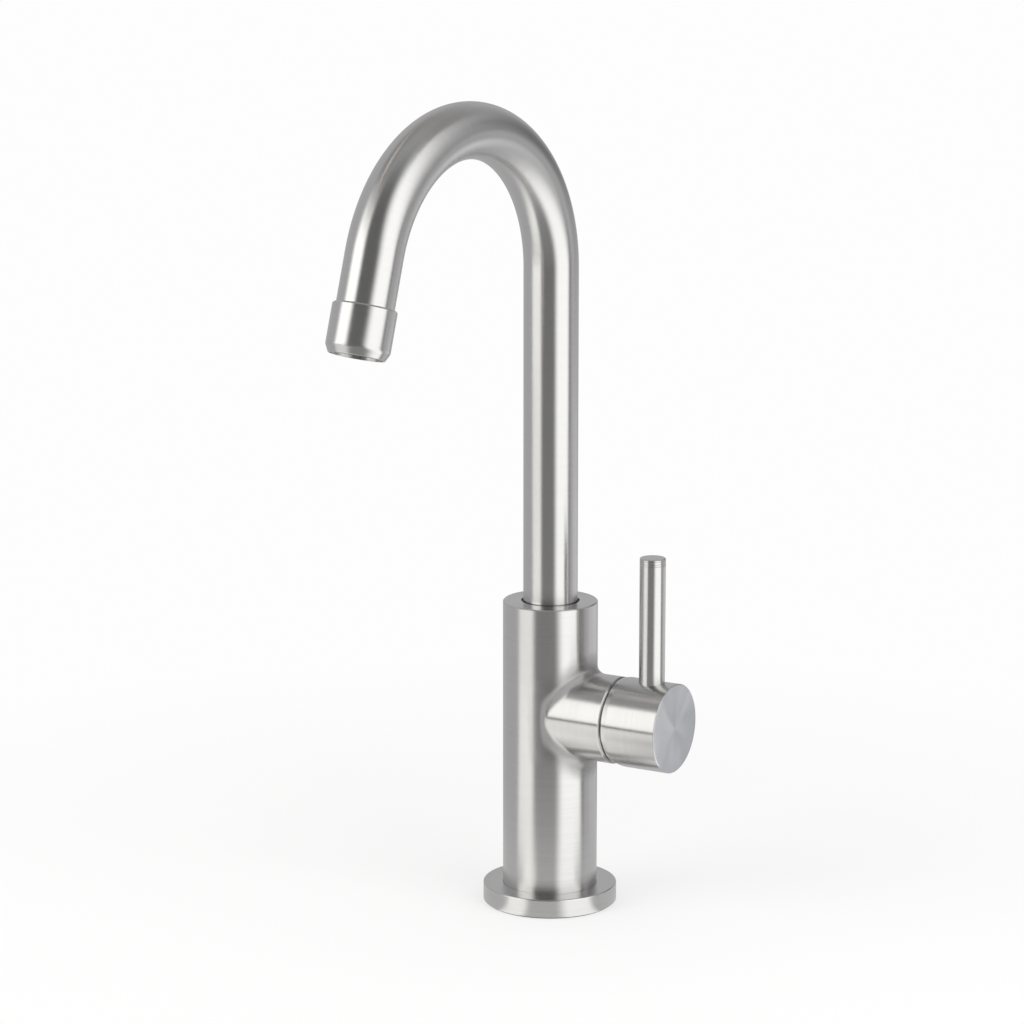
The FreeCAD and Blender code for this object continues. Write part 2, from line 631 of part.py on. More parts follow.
def cartridge_housing():
    return on_handle_axis(turned([
        (HOUSING_BORE, HOUSING_BACK_X),
        (CARTRIDGE_RADIUS, HOUSING_BACK_X),
        (CARTRIDGE_RADIUS, NUT_SEAT_X),
        (HOUSING_NOSE_RADIUS, NUT_SEAT_X),
        (HOUSING_NOSE_RADIUS, HOUSING_FRONT_X),
        (HOUSING_LIP_RADIUS, HOUSING_FRONT_X),
        (HOUSING_LIP_RADIUS, HOUSING_LIP_X),
        (GUIDE_RADIUS + RUN, HOUSING_LIP_X),
        (GUIDE_RADIUS + RUN, HOUSING_STEP_X),
        (HOUSING_BORE, HOUSING_STEP_X),
    ]))


def stem_guide():
    """Turning part of the cartridge: slotted guide with two legs that drive the disc carrier."""
    wide = HOUSING_BORE - RUN
    shape = rod(wide, GUIDE_FOOT_X, GUIDE_STEP_X).fuse(rod(GUIDE_RADIUS, GUIDE_STEP_X, GUIDE_FRONT_X))
    leg_foot = GUIDE_FOOT_X - GUIDE_LEG_LENGTH
    legs = rod(wide, leg_foot, GUIDE_FOOT_X)
    legs = legs.cut(block(V(-GUIDE_LEG_INNER, -wide, leg_foot), V(GUIDE_LEG_INNER, wide, GUIDE_FOOT_X)))
    shape = shape.fuse(legs)
    slot = block(V(-SLOT_HALF_WIDTH, -SLOT_HALF_HEIGHT, GUIDE_FOOT_X),
                 V(SLOT_HALF_WIDTH, SLOT_HALF_HEIGHT, GUIDE_FRONT_X))
    pin_hole = bar(PIN_RADIUS, V(-wide, 0, PIVOT_X), V(wide, 0, PIVOT_X))
    return on_handle_axis(cut_all(shape, [slot, pin_hole]).removeSplitter())


def pivot_pin():
    reach = GUIDE_RADIUS - 2 * RUN
    return on_handle_axis(bar(PIN_RADIUS, V(-reach, 0, PIVOT_X), V(reach, 0, PIVOT_X)))


def cartridge_stem():
    ball = Part.makeSphere(BALL_RADIUS, V(0, 0, BALL_X))
    back_x = PIVOT_X - STEM_BLOCK_BACK
    front_x = PIVOT_X + STEM_BLOCK_FRONT
    neck = rod(STEM_NECK_RADIUS, BALL_X, back_x)
    middle = block(V(-STEM_BLOCK_HALF_WIDTH, -STEM_BLOCK_HALF_HEIGHT, back_x),
                   V(STEM_BLOCK_HALF_WIDTH, STEM_BLOCK_HALF_HEIGHT, front_x))
    square = block(V(-STEM_SQUARE_HALF, -STEM_SQUARE_HALF, front_x),
                   V(STEM_SQUARE_HALF, STEM_SQUARE_HALF, STEM_END_X))
    shape = ball.fuse([neck, middle, square]).removeSplitter()
    pin_hole = bar(PIN_RADIUS + RUN, V(-STEM_SQUARE_HALF, 0, PIVOT_X), V(STEM_SQUARE_HALF, 0, PIVOT_X))
    return on_handle_axis(shape.cut(pin_hole))


def cartridge_nut():
    head_x = NUT_SEAT_X + NUT_HEAD
    shape = turned([
        (CARTRIDGE_RADIUS + FIT, NUT_FOOT_X),
        (NUT_RADIUS, NUT_FOOT_X),
        (NUT_RADIUS, head_x),
        (HOUSING_NOSE_RADIUS + FIT, head_x),
        (HOUSING_NOSE_RADIUS + FIT, NUT_SEAT_X),
        (CARTRIDGE_RADIUS + FIT, NUT_SEAT_X),
    ])
    for i in range(NUT_SLOTS):
        slot = block(V(HOUSING_NOSE_RADIUS, -NUT_SLOT_WIDTH / 2, head_x - NUT_SLOT_DEPTH),
                     V(NUT_RADIUS, NUT_SLOT_WIDTH / 2, head_x))
        slot = slot.fuse(block(V(NUT_RADIUS, -NUT_SLOT_WIDTH / 2, head_x - NUT_SLOT_DEPTH),
                               V(NUT_RADIUS + NUT_SLOT_WIDTH, NUT_SLOT_WIDTH / 2, head_x)))
        slot.rotate(CENTRE, UP, i * 360 / NUT_SLOTS)
        shape = shape.cut(slot)
    return on_handle_axis(shape)


# ---------------------------------------------------------------- dome, hub and lever
def ball_zone_face(radius, back_x, front_x, tail):
    """Face of a turned piece whose outside is part of a ball about the pivot, closed through tail."""
    back_r = math.sqrt(radius ** 2 - (back_x - PIVOT_X) ** 2)
    front_r = math.sqrt(radius ** 2 - (front_x - PIVOT_X) ** 2)
    middle_x = (back_x + front_x) / 2
    middle_r = math.sqrt(radius ** 2 - (middle_x - PIVOT_X) ** 2)
    start = V(back_r, 0, back_x)
    end = V(front_r, 0, front_x)
    edges = [Part.Arc(start, V(middle_r, 0, middle_x), end).toShape()]
    points = [end] + [V(r, 0, x) for r, x in tail] + [start]
    for here, there in zip(points, points[1:]):
        edges.append(Part.LineSegment(here, there).toShape())
    return Part.Face(Part.Wire(edges))


def bonnet_dome():
    nose_x = PIVOT_X + DOME_NOSE
    face = ball_zone_face(DOME_RADIUS, BRANCH_REACH, PIVOT_X + DOME_BALL_END, [
        (DOME_NOSE_RADIUS, nose_x),
        (DOME_HOLE_RADIUS, nose_x),
        (DOME_HOLE_RADIUS, PIVOT_X + DOME_THROAT),
        (DOME_BORE, PIVOT_X + DOME_SHOULDER),
        (DOME_BORE, CUP_END_X),
        (CUP_RADIUS, CUP_END_X),
        (CUP_RADIUS, BRANCH_REACH),
    ])
    return on_handle_axis(face.revolve(CENTRE, UP, 360))


def hub_relief():
    """Space cut from the bottom of the hub's skirt, so that the tilted hub clears the branch end."""
    slope = math.radians(TILT_DEG)
    upright = math.pi / 2
    top = (SEAM_GAP - SEAM_LEFT) / math.sin(slope)
    knee_down = HUB_RADIUS - RELIEF_KNEE_UP
    knee = V(0, -knee_down, HUB_RIM_X + (knee_down - top) * math.tan(slope))
    centre = knee + V(0, math.sin(slope), math.cos(slope)) * RELIEF_RADIUS
    points = [centre - V(0, math.sin(angle), math.cos(angle)) * RELIEF_RADIUS
              for angle in (slope, (slope + upright) / 2, upright)]
    low = RELIEF_RADIUS - centre.y
    back_x = HUB_RIM_X - RELIEF_OVERCUT
    run = [V(0, -low, back_x), V(0, -top, back_x), V(0, -top, HUB_RIM_X), points[0]]
    edges = [Part.LineSegment(here, there).toShape() for here, there in zip(run, run[1:])]
    edges.append(Part.Arc(points[0], points[1], points[2]).toShape())
    edges.append(Part.LineSegment(points[2], run[0]).toShape())
    profile = Part.Face(Part.Wire(edges))
    profile.translate(V(-HUB_RADIUS, 0, 0))
    return profile.extrude(V(2 * HUB_RADIUS, 0, 0))


def hub_hollow():
    """Inside of the hub: a bore over the dome, then a ball zone about the pivot."""
    face = ball_zone_face(HUB_HOLLOW_RADIUS, PIVOT_X, HUB_FLOOR_X, [
        (0, HUB_FLOOR_X),
        (0, HUB_RIM_X),
        (HUB_HOLLOW_RADIUS, HUB_RIM_X),
    ])
    return face.revolve(CENTRE, UP, 360)


def handle_hub():
    shape = turned([
        (0, HUB_RIM_X),
        (HUB_RADIUS - HUB_RIM_DROP, HUB_RIM_X),
        (HUB_RADIUS, HUB_RIM_X + HUB_RIM_TAPER),
        (HUB_RADIUS, HUB_FACE_X, HUB_FACE_ROUND),
        (0, HUB_FACE_X),
    ])
    half = STEM_SQUARE_HALF + FIT
    socket = block(V(-half, -half, HUB_FLOOR_X), V(half, half, STEM_END_X + HUB_SOCKET_SPARE))
    stud_foot = LEVER_STUD_FOOT_UP - HUB_SOCKET_SPARE
    tools = [
        hub_hollow(),
        hub_relief(),
        socket,
        bar(LEVER_RADIUS + FIT, V(0, LEVER_SEAT_UP, LEVER_X), V(0, 2 * HUB_RADIUS, LEVER_X)),
        bar(LEVER_STUD_RADIUS + FIT, V(0, stud_foot, LEVER_X), V(0, LEVER_SEAT_UP, LEVER_X)),
        bar(SCREW_RADIUS + FIT, V(0, -2 * HUB_RADIUS, LEVER_X), V(0, -STEM_SQUARE_HALF, LEVER_X)),
    ]
    return on_handle_axis(cut_all(shape, tools))


def lever_rod():
    shape = turned([
        (0, LEVER_STUD_FOOT_UP),
        (LEVER_STUD_RADIUS, LEVER_STUD_FOOT_UP),
        (LEVER_STUD_RADIUS, LEVER_SEAT_UP),
        (LEVER_RADIUS, LEVER_SEAT_UP),
        (LEVER_RADIUS, TIP_FOOT_UP - LEVER_JOINT_CHAMFER),
        (LEVER_RADIUS - LEVER_JOINT_CHAMFER, TIP_FOOT_UP),
        (0, TIP_FOOT_UP),
    ])
    hole_foot = TIP_FOOT_UP - TIP_STUD_LENGTH - HUB_SOCKET_SPARE
    return on_lever_axis(shape.cut(rod(TIP_STUD_RADIUS + FIT, hole_foot, TIP_FOOT_UP)))


def lever_tip():
    groove = TIP_FOOT_UP + TIP_GROOVE_UP
    return on_lever_axis(turned([
        (0, TIP_FOOT_UP - TIP_STUD_LENGTH),
        (TIP_STUD_RADIUS, TIP_FOOT_UP - TIP_STUD_LENGTH),
        (TIP_STUD_RADIUS, TIP_FOOT_UP),
        (LEVER_RADIUS - LEVER_JOINT_CHAMFER, TIP_FOOT_UP),
        (LEVER_RADIUS, TIP_FOOT_UP + LEVER_JOINT_CHAMFER),
        (LEVER_RADIUS, groove - TIP_GROOVE / 2),
        (LEVER_RADIUS - TIP_GROOVE, groove),
        (LEVER_RADIUS, groove + TIP_GROOVE / 2),
        (LEVER_RADIUS, LEVER_TOP - TIP_CHAMFER),
        (LEVER_RADIUS - TIP_CHAMFER, LEVER_TOP),
        (0, LEVER_TOP),
    ]))


def handle_set_screw():
    corners = []
    for i in range(SCREW_KEY_SIDES + 1):
        turn = 2 * math.pi * i / SCREW_KEY_SIDES
        x = SCREW_KEY_RADIUS * math.cos(turn)
        y = SCREW_KEY_RADIUS * math.sin(turn)
        corners.append(V(x, y, -SCREW_HEAD_DOWN))
    key_space = Part.Face(Part.makePolygon(corners)).extrude(V(0, 0, SCREW_KEY_DEPTH))
    return on_lever_axis(rod(SCREW_RADIUS, -SCREW_HEAD_DOWN, -STEM_SQUARE_HALF).cut(key_space))


# ---------------------------------------------------------------- spout bearing
def clip_groove(inner, outer):
    """Groove for the retaining clip, with play on both sides."""
    low = ADAPTER_FOOT_Z + CLIP_HEIGHT - CLIP_PLAY
    return ring(outer, inner, low, low + CLIP_THICK + 2 * CLIP_PLAY)


def spout_socket():
    shape = turned([
        (0, SOCKET_FOOT_Z),
        (BODY_BORE - FIT, SOCKET_FOOT_Z),
        (BODY_BORE - FIT, SOCKET_TOP_Z),
        (SOCKET_BORE_RADIUS, SOCKET_TOP_Z),
        (SOCKET_BORE_RADIUS, SOCKET_FLOOR_Z),
        (0, SOCKET_FLOOR_Z),
    ])
    return cut_all(shape, [
        rod(OUTLET_RISER_BORE, SOCKET_FOOT_Z, SOCKET_FLOOR_Z, WATERWAY_X),
        rod(OUTLET_RISER_RADIUS + FIT, SOCKET_FOOT_Z, OUTLET_RISER_TOP_Z, WATERWAY_X),
        clip_groove(SOCKET_BORE_RADIUS - CLIP_PLAY, CLIP_OUTER_RADIUS + CLIP_PLAY),
    ])


def thrust_washer():
    return ring(SOCKET_BORE_RADIUS - FIT, THRUST_BORE_RADIUS, SOCKET_FLOOR_Z, SOCKET_FLOOR_Z + THRUST_THICK)


def glide_ring():
    top = BODY_TOP_Z - GLIDE_RING_SET_BACK
    return ring(TOP_HOLE_RADIUS - FIT, NECK_RADIUS + RUN, SOCKET_TOP_Z, top)


def o_ring_centre_radius():
    return SOCKET_BORE_RADIUS - O_RING_SQUEEZE_GAP - O_RING_RADIUS


def spout_adapter():
    shape = turned([
        (ADAPTER_BORE_RADIUS, ADAPTER_FOOT_Z),
        (ADAPTER_RADIUS, ADAPTER_FOOT_Z),
        (ADAPTER_RADIUS, NECK_FOOT_Z),
        (NECK_BORE - FIT, NECK_FOOT_Z),
        (NECK_BORE - FIT, NECK_FOOT_Z + ADAPTER_SPIGOT),
        (ADAPTER_BORE_RADIUS, NECK_FOOT_Z + ADAPTER_SPIGOT),
    ])
    groove_floor = o_ring_centre_radius() - O_RING_RADIUS
    groove_width = 2 * O_RING_RADIUS + O_RING_GROOVE_PLAY
    for height in O_RING_HEIGHTS:
        low = ADAPTER_FOOT_Z + height - groove_width / 2
        shape = shape.cut(ring(ADAPTER_RADIUS + FIT, groove_floor, low, low + groove_width))
    shape = shape.cut(clip_groove(CLIP_INNER_RADIUS - FIT, ADAPTER_RADIUS + FIT))
    return with_spout(shape)


def spout_o_rings():
    rings = []
    for height in O_RING_HEIGHTS:
        centre = V(0, 0, ADAPTER_FOOT_Z + height)
        rings.append(with_spout(Part.makeTorus(o_ring_centre_radius(), O_RING_RADIUS, centre, UP)))
    return Part.makeCompound(rings)


def retaining_clip():
    low = ADAPTER_FOOT_Z + CLIP_HEIGHT
    shape = ring(CLIP_OUTER_RADIUS, CLIP_INNER_RADIUS, low, low + CLIP_THICK)
    opening = Part.makeCylinder(2 * CLIP_OUTER_RADIUS, CLIP_THICK, V(0, 0, low), UP, CLIP_OPENING_DEG)
    return with_spout(shape.cut(opening))


# ---------------------------------------------------------------- gooseneck and aerator
def spout_tube():
    foot = V(0, 0, NECK_FOOT_Z)
    outer = Part.Face(Part.Wire(Part.makeCircle(NECK_RADIUS, foot, UP)))
    inner = Part.Face(Part.Wire(Part.makeCircle(NECK_BORE, foot, UP)))
    section = outer.cut(inner).Faces[0]
    rise = BEND_CENTRE_Z - NECK_FOOT_Z
    neck = section.extrude(V(0, 0, rise))
    section.translate(V(0, 0, rise))
    bend = section.revolve(V(0, -BEND_RADIUS, BEND_CENTRE_Z), ACROSS, BEND_DEG)
    section.rotate(V(0, -BEND_RADIUS, BEND_CENTRE_Z), ACROSS, BEND_DEG)
    end = section.extrude(spout_flow() * (SPOUT_END_LENGTH + COLLAR_HOLD))
    return with_spout(neck.fuse([bend, end]))


def aerator_housing():
    tip_radius = COLLAR_RADIUS - COLLAR_TAPER_DROP
    return at_outlet(turned([
        (COLLAR_MOUTH_RADIUS, 0),
        (tip_radius, 0, COLLAR_TIP_ROUND),
        (COLLAR_RADIUS, COLLAR_TAPER_LENGTH, COLLAR_TAPER_LENGTH),
        (COLLAR_RADIUS, COLLAR_LENGTH - COLLAR_TOP_CHAMFER),
        (COLLAR_RADIUS - COLLAR_TOP_CHAMFER, COLLAR_LENGTH),
        (NECK_RADIUS + FIT, COLLAR_LENGTH),
        (NECK_RADIUS + FIT, TUBE_END_UP),
        (AERATOR_RADIUS, TUBE_END_UP),
        (AERATOR_RADIUS, COLLAR_LIP_THICK),
        (COLLAR_MOUTH_RADIUS, COLLAR_LIP_THICK),
    ]))


def aerator_screen():
    """Disc with a hexagonal field of holes."""
    radius = AERATOR_RADIUS - FIT
    reach = radius - SCREEN_RIM - SCREEN_HOLE_RADIUS
    row_pitch = SCREEN_HOLE_PITCH * math.sin(math.pi / 3)
    rows = int(2 * radius / row_pitch)
    holes = []
    for row in range(-rows, rows + 1):
        for column in range(-rows, rows + 1):
            x = (column + row / 2) * SCREEN_HOLE_PITCH
            y = row * row_pitch
            if math.hypot(x, y) <= reach:
                holes.append(rod(SCREEN_HOLE_RADIUS, COLLAR_LIP_THICK, INSERT_UP, x, y))
    return at_outlet(rod(radius, COLLAR_LIP_THICK, INSERT_UP).cut(Part.makeCompound(holes)))


def aerator_insert():
    """Wheel-shaped insert: rim, hub and ribs."""
    radius = AERATOR_RADIUS - FIT
    shape = ring(radius, radius - INSERT_WALL, INSERT_UP, FLOW_DISC_UP)
    shape = shape.fuse(rod(INSERT_HUB_RADIUS, INSERT_UP, FLOW_DISC_UP))
    half = INSERT_RIB_THICK / 2
    for i in range(INSERT_RIBS):
        rib = block(V(INSERT_HUB_RADIUS / 2, -half, INSERT_UP),
                    V(radius - INSERT_WALL / 2, half, FLOW_DISC_UP))
        rib.rotate(CENTRE, UP, i * 360 / INSERT_RIBS)
        shape = shape.fuse(rib)
    return at_outlet(shape.removeSplitter())


def flow_disc():
    shape = rod(AERATOR_RADIUS - FIT, FLOW_DISC_UP, WASHER_UP)
    for i in range(FLOW_HOLES):
        turn = 2 * math.pi * i / FLOW_HOLES
        x = FLOW_HOLE_RING_RADIUS * math.cos(turn)
        y = FLOW_HOLE_RING_RADIUS * math.sin(turn)
        shape = shape.cut(rod(FLOW_HOLE_RADIUS, FLOW_DISC_UP, WASHER_UP, x, y))
    return at_outlet(shape)


def aerator_washer():
    return at_outlet(ring(AERATOR_RADIUS - FIT, WASHER_BORE_RADIUS, WASHER_UP, TUBE_END_UP))


# ---------------------------------------------------------------- every piece, one file each
PIECES = (
    base_gasket, base_flange, body_shell, inlet_block, hot_riser, cold_riser, outlet_riser,
    valve_cup, cartridge_base, port_seals, fixed_disc, cartridge_housing, cartridge_nut, bonnet_dome,
    spout_socket, thrust_washer, glide_ring,
    spout_adapter, spout_o_rings, retaining_clip, spout_tube,
    aerator_housing, aerator_washer, flow_disc, aerator_insert, aerator_screen,
    stem_guide, pivot_pin, moving_disc, disc_carrier,
    cartridge_stem, handle_hub, lever_rod, lever_tip, handle_set_screw,
)


def main():
    os.makedirs("parts", exist_ok=True)
    for piece in PIECES:
        shape = piece()
        shape.exportStep("parts/" + piece.__name__ + ".step")
        print(piece.__name__, "valid" if shape.isValid() else "NOT VALID",
              len(shape.Solids), round(shape.Volume, PRINT_DIGITS))


main()
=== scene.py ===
"""Gooseneck bar faucet in brushed steel: the looks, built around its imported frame. Metres, +Z up."""

import json
import logging
import math
from dataclasses import dataclass, field
from enum import Enum
from typing import ClassVar, Optional, Sequence, Union

import bpy
from mathutils import Matrix, Vector

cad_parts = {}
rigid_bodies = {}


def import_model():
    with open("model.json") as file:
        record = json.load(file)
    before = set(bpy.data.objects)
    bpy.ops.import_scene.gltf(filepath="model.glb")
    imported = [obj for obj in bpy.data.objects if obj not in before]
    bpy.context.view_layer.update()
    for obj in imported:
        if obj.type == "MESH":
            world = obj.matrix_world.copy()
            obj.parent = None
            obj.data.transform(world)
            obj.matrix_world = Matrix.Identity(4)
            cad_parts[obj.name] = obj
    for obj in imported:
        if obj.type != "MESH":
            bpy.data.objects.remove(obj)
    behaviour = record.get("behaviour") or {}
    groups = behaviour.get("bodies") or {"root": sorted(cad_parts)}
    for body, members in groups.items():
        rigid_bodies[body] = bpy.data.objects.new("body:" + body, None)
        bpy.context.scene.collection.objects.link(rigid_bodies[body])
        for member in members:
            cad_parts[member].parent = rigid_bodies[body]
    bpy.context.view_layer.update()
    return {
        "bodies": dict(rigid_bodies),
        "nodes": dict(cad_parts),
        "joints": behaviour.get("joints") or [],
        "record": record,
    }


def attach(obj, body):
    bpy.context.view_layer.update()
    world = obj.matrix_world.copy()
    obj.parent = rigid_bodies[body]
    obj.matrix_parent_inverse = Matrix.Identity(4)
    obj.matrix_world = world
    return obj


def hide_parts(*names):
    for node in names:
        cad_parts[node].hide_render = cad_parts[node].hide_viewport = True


log = logging.getLogger("faucet")

MM = 0.001
BRUSH = "brush"             # attribute: place round and along a turned piece, in metres
ALONG = "along"             # attribute: direction along its outline
HANDLE_AXIS = (0.0, 0.0, 80.2 * MM)
SEAM_EDGE = 0.15 * MM       # how softly the painted shade in a seam ends
FACE_EDGE = 0.15 * MM       # how softly an end face's colour starts
ROUND_SHARE = 0.49          # a rounding takes at most this share of the run beside it
STRAIGHT = 0.05             # a corner that turns less than this, in radians, gets no arc
Number = Union[int, float]
SocketValue = Union["Wire", Number, Sequence[float], str, bool, bpy.types.Material]


# ------------------------------------------------------------------ node maths
class Wire:
    """A node's output that can stand in a sum or a product."""

    def __init__(self, graph: "Graph", socket: bpy.types.NodeSocket) -> None:
        """Keeps the graph that new nodes go into, and the output socket."""
        self.graph = graph
        self.socket = socket

    def __add__(self, other: SocketValue) -> "Wire":
        """This plus other."""
        return self.graph.maths("ADD", self, other)

    def __radd__(self, other: SocketValue) -> "Wire":
        """Other plus this."""
        return self.graph.maths("ADD", other, self)

    def __sub__(self, other: SocketValue) -> "Wire":
        """This less other."""
        return self.graph.maths("SUBTRACT", self, other)

    def __rsub__(self, other: SocketValue) -> "Wire":
        """Other less this."""
        return self.graph.maths("SUBTRACT", other, self)

    def __mul__(self, other: SocketValue) -> "Wire":
        """This times other."""
        return self.graph.maths("MULTIPLY", self, other)

    def __rmul__(self, other: SocketValue) -> "Wire":
        """Other times this."""
        return self.graph.maths("MULTIPLY", other, self)

    def __truediv__(self, other: SocketValue) -> "Wire":
        """This divided by other."""
        return self.graph.maths("DIVIDE", self, other)

    def __rtruediv__(self, other: SocketValue) -> "Wire":
        """Other divided by this."""
        return self.graph.maths("DIVIDE", other, self)

    def at_most(self, other: SocketValue) -> "Wire":
        """The smaller of this and other."""
        return self.graph.maths("MINIMUM", self, other)

    def at_least(self, other: SocketValue) -> "Wire":
        """The larger of this and other."""
        return self.graph.maths("MAXIMUM", self, other)


class Graph:
    """Adds nodes to one node tree."""

    def __init__(self, tree: bpy.types.NodeTree) -> None:
        """Keeps the tree."""
        self.tree = tree

    def node(self, kind: str, settings: Optional[dict] = None, sockets: Optional[dict] = None) -> bpy.types.Node:
        """Adds a node.

        Args:
            kind: The node's type name.
            settings: Values of the node itself, set first; "stops" are a colour ramp's.
            sockets: Values or wires of its inputs, by name or place.

        Returns:
            The new node.
        """
        made = self.tree.nodes.new(kind)
        for name, value in (settings or {}).items():
            if name == "stops":
                for stop, (place, colour) in zip(made.color_ramp.elements, value):
                    stop.position, stop.color = place, colour
                for place, colour in value[2:]:
                    made.color_ramp.elements.new(place).color = colour
            else:
                setattr(made, name, value)
        for name, value in (sockets or {}).items():
            if isinstance(value, Wire):
                self.tree.links.new(value.socket, made.inputs[name])
            else:
                made.inputs[name].default_value = value
        return made

    def wire(self, kind: str, settings: Optional[dict] = None, sockets: Optional[dict] = None,
             output: Union[int, str] = 0) -> Wire:
        """Adds a node and gives one of its outputs.

        Args:
            kind: The node's type name.
            settings: Values of the node itself.
            sockets: Values or wires of its inputs.
            output: Name or place of the output.

        Returns:
            That output.
        """
        return Wire(self, self.node(kind, settings, sockets).outputs[output])

    def maths(self, operation: str, *values: SocketValue) -> Wire:
        """A Math node on one to three values."""
        return self.wire("ShaderNodeMath", {"operation": operation}, dict(enumerate(values)))

    def vector(self, operation: str, *values: SocketValue) -> Wire:
        """A Vector Math node that gives a vector."""
        return self.wire("ShaderNodeVectorMath", {"operation": operation}, dict(enumerate(values)))

    def scaled(self, vector: Wire, factor: SocketValue) -> Wire:
        """A vector made longer or shorter."""
        return self.wire("ShaderNodeVectorMath", {"operation": "SCALE"}, {0: vector, "Scale": factor})

    def length(self, vector: Wire) -> Wire:
        """A vector's length."""
        return self.wire("ShaderNodeVectorMath", {"operation": "LENGTH"}, {0: vector}, "Value")

    def join(self, x: SocketValue, y: SocketValue, z: SocketValue) -> Wire:
        """Three numbers as one vector."""
        return self.wire("ShaderNodeCombineXYZ", None, {0: x, 1: y, 2: z})

    def split(self, vector: Wire) -> tuple[Wire, Wire, Wire]:
        """A vector's three numbers."""
        made = self.node("ShaderNodeSeparateXYZ", None, {0: vector})
        return tuple(Wire(self, made.outputs[i]) for i in range(3))

    def ramp(self, value: Wire, low: float, high: float, to_low: float = 0.0, to_high: float = 1.0) -> Wire:
        """A value taken smoothly from one range to another, and held at the ends.

        Args:
            value: The value.
            low: Start of its range.
            high: End of its range.
            to_low: What the start becomes.
            to_high: What the end becomes.

        Returns:
            The new value.
        """
        return self.wire("ShaderNodeMapRange", {"interpolation_type": "SMOOTHSTEP"},
                         {0: value, 1: low, 2: high, 3: to_low, 4: to_high})

    def noise(self, vector: Wire, scale: Sequence[float], detail: float = 2.0, rough: float = 0.5) -> Wire:
        """Noise from 0 to 1.

        Args:
            vector: Where it is read.
            scale: What the vector is multiplied by first.
            detail: Number of finer layers.
            rough: Strength of the finer layers.

        Returns:
            The noise.
        """
        stretched = self.vector("MULTIPLY", vector, scale)
        return self.wire("ShaderNodeTexNoise", {"noise_dimensions": "3D"},
                         {"Vector": stretched, "Scale": 1.0, "Detail": detail, "Roughness": rough}, "Fac")

    def blend(self, share: SocketValue, first: SocketValue, second: SocketValue) -> Wire:
        """A colour between two others.

        Args:
            share: How much of the second, from 0 to 1.
            first: The first colour.
            second: The second colour.

        Returns:
            The colour.
        """
        made = self.node("ShaderNodeMix", {"data_type": "RGBA"})
        for place, value in ((0, share), (6, first), (7, second)):
            if isinstance(value, Wire):
                self.tree.links.new(value.socket, made.inputs[place])
            else:
                made.inputs[place].default_value = value
        return Wire(self, made.outputs[2])


def blank_material(name: str) -> tuple[bpy.types.Material, Graph]:
    """A new material with no nodes.

    Args:
        name: Its name.

    Returns:
        The material, and the graph to fill.
    """
    made = bpy.data.materials.new(name)
    made.use_nodes = True
    made.node_tree.nodes.clear()
    return made, Graph(made.node_tree)


# ------------------------------------------------------------------ finishes
class Slot(Enum):
    """The record's material slots."""

    BRUSHED_STEEL = "brushed_steel"
    PLAIN_STEEL = "plain_steel"
    BRASS = "brass"
    RUBBER = "rubber"
    BLACK_PLASTIC = "black_plastic"
    WHITE_PLASTIC = "white_plastic"
    CERAMIC = "ceramic"


class Turning(Enum):
    """Where the place round and along a turned piece is read from."""

    STORED = "stored"       # the piece's own attributes
    UPRIGHT = "upright"     # object coordinates about an upright axis
    ACROSS = "across"       # object coordinates about an axis along +X
    JOINED = "joined"       # upright, and across on the branch


@dataclass(frozen=True)
class Finish:
    """A surface finish. Each kind says how its shader varies over the surface."""

    name: str
    colour: tuple[float, float, float]
    metallic: float = 0.0
    roughness: float = 0.5
    made: ClassVar[dict[str, bpy.types.Material]] = {}

    def principled(self, graph: Graph, colour: Wire, rough: Wire, normal: Wire) -> Wire:
        """A principled shader of this finish.

        Args:
            graph: The material's graph.
            colour: Its colour.
            rough: Its roughness.
            normal: Its normal.

        Returns:
            The shader's output.
        """
        return graph.wire("ShaderNodeBsdfPrincipled", None, {
            "Base Color": colour, "Metallic": self.metallic, "Roughness": rough, "Normal": normal})

    def surface(self, graph: Graph) -> Wire:
        """The finish's shader. Each kind of finish has its own."""
        raise NotImplementedError

    def material(self) -> bpy.types.Material:
        """The finish as a material, made once.

        Returns:
            The material, with its nodes.
        """
        if self.name in self.made:
            return self.made[self.name]
        made, graph = blank_material(self.name)
        self.made[self.name] = made
        graph.node("ShaderNodeOutputMaterial", None, {0: self.surface(graph)})
        return made

    def dress(self, piece: bpy.types.Object) -> None:
        """Gives the whole piece this finish."""
        piece.data.materials.clear()
        piece.data.materials.append(self.material())


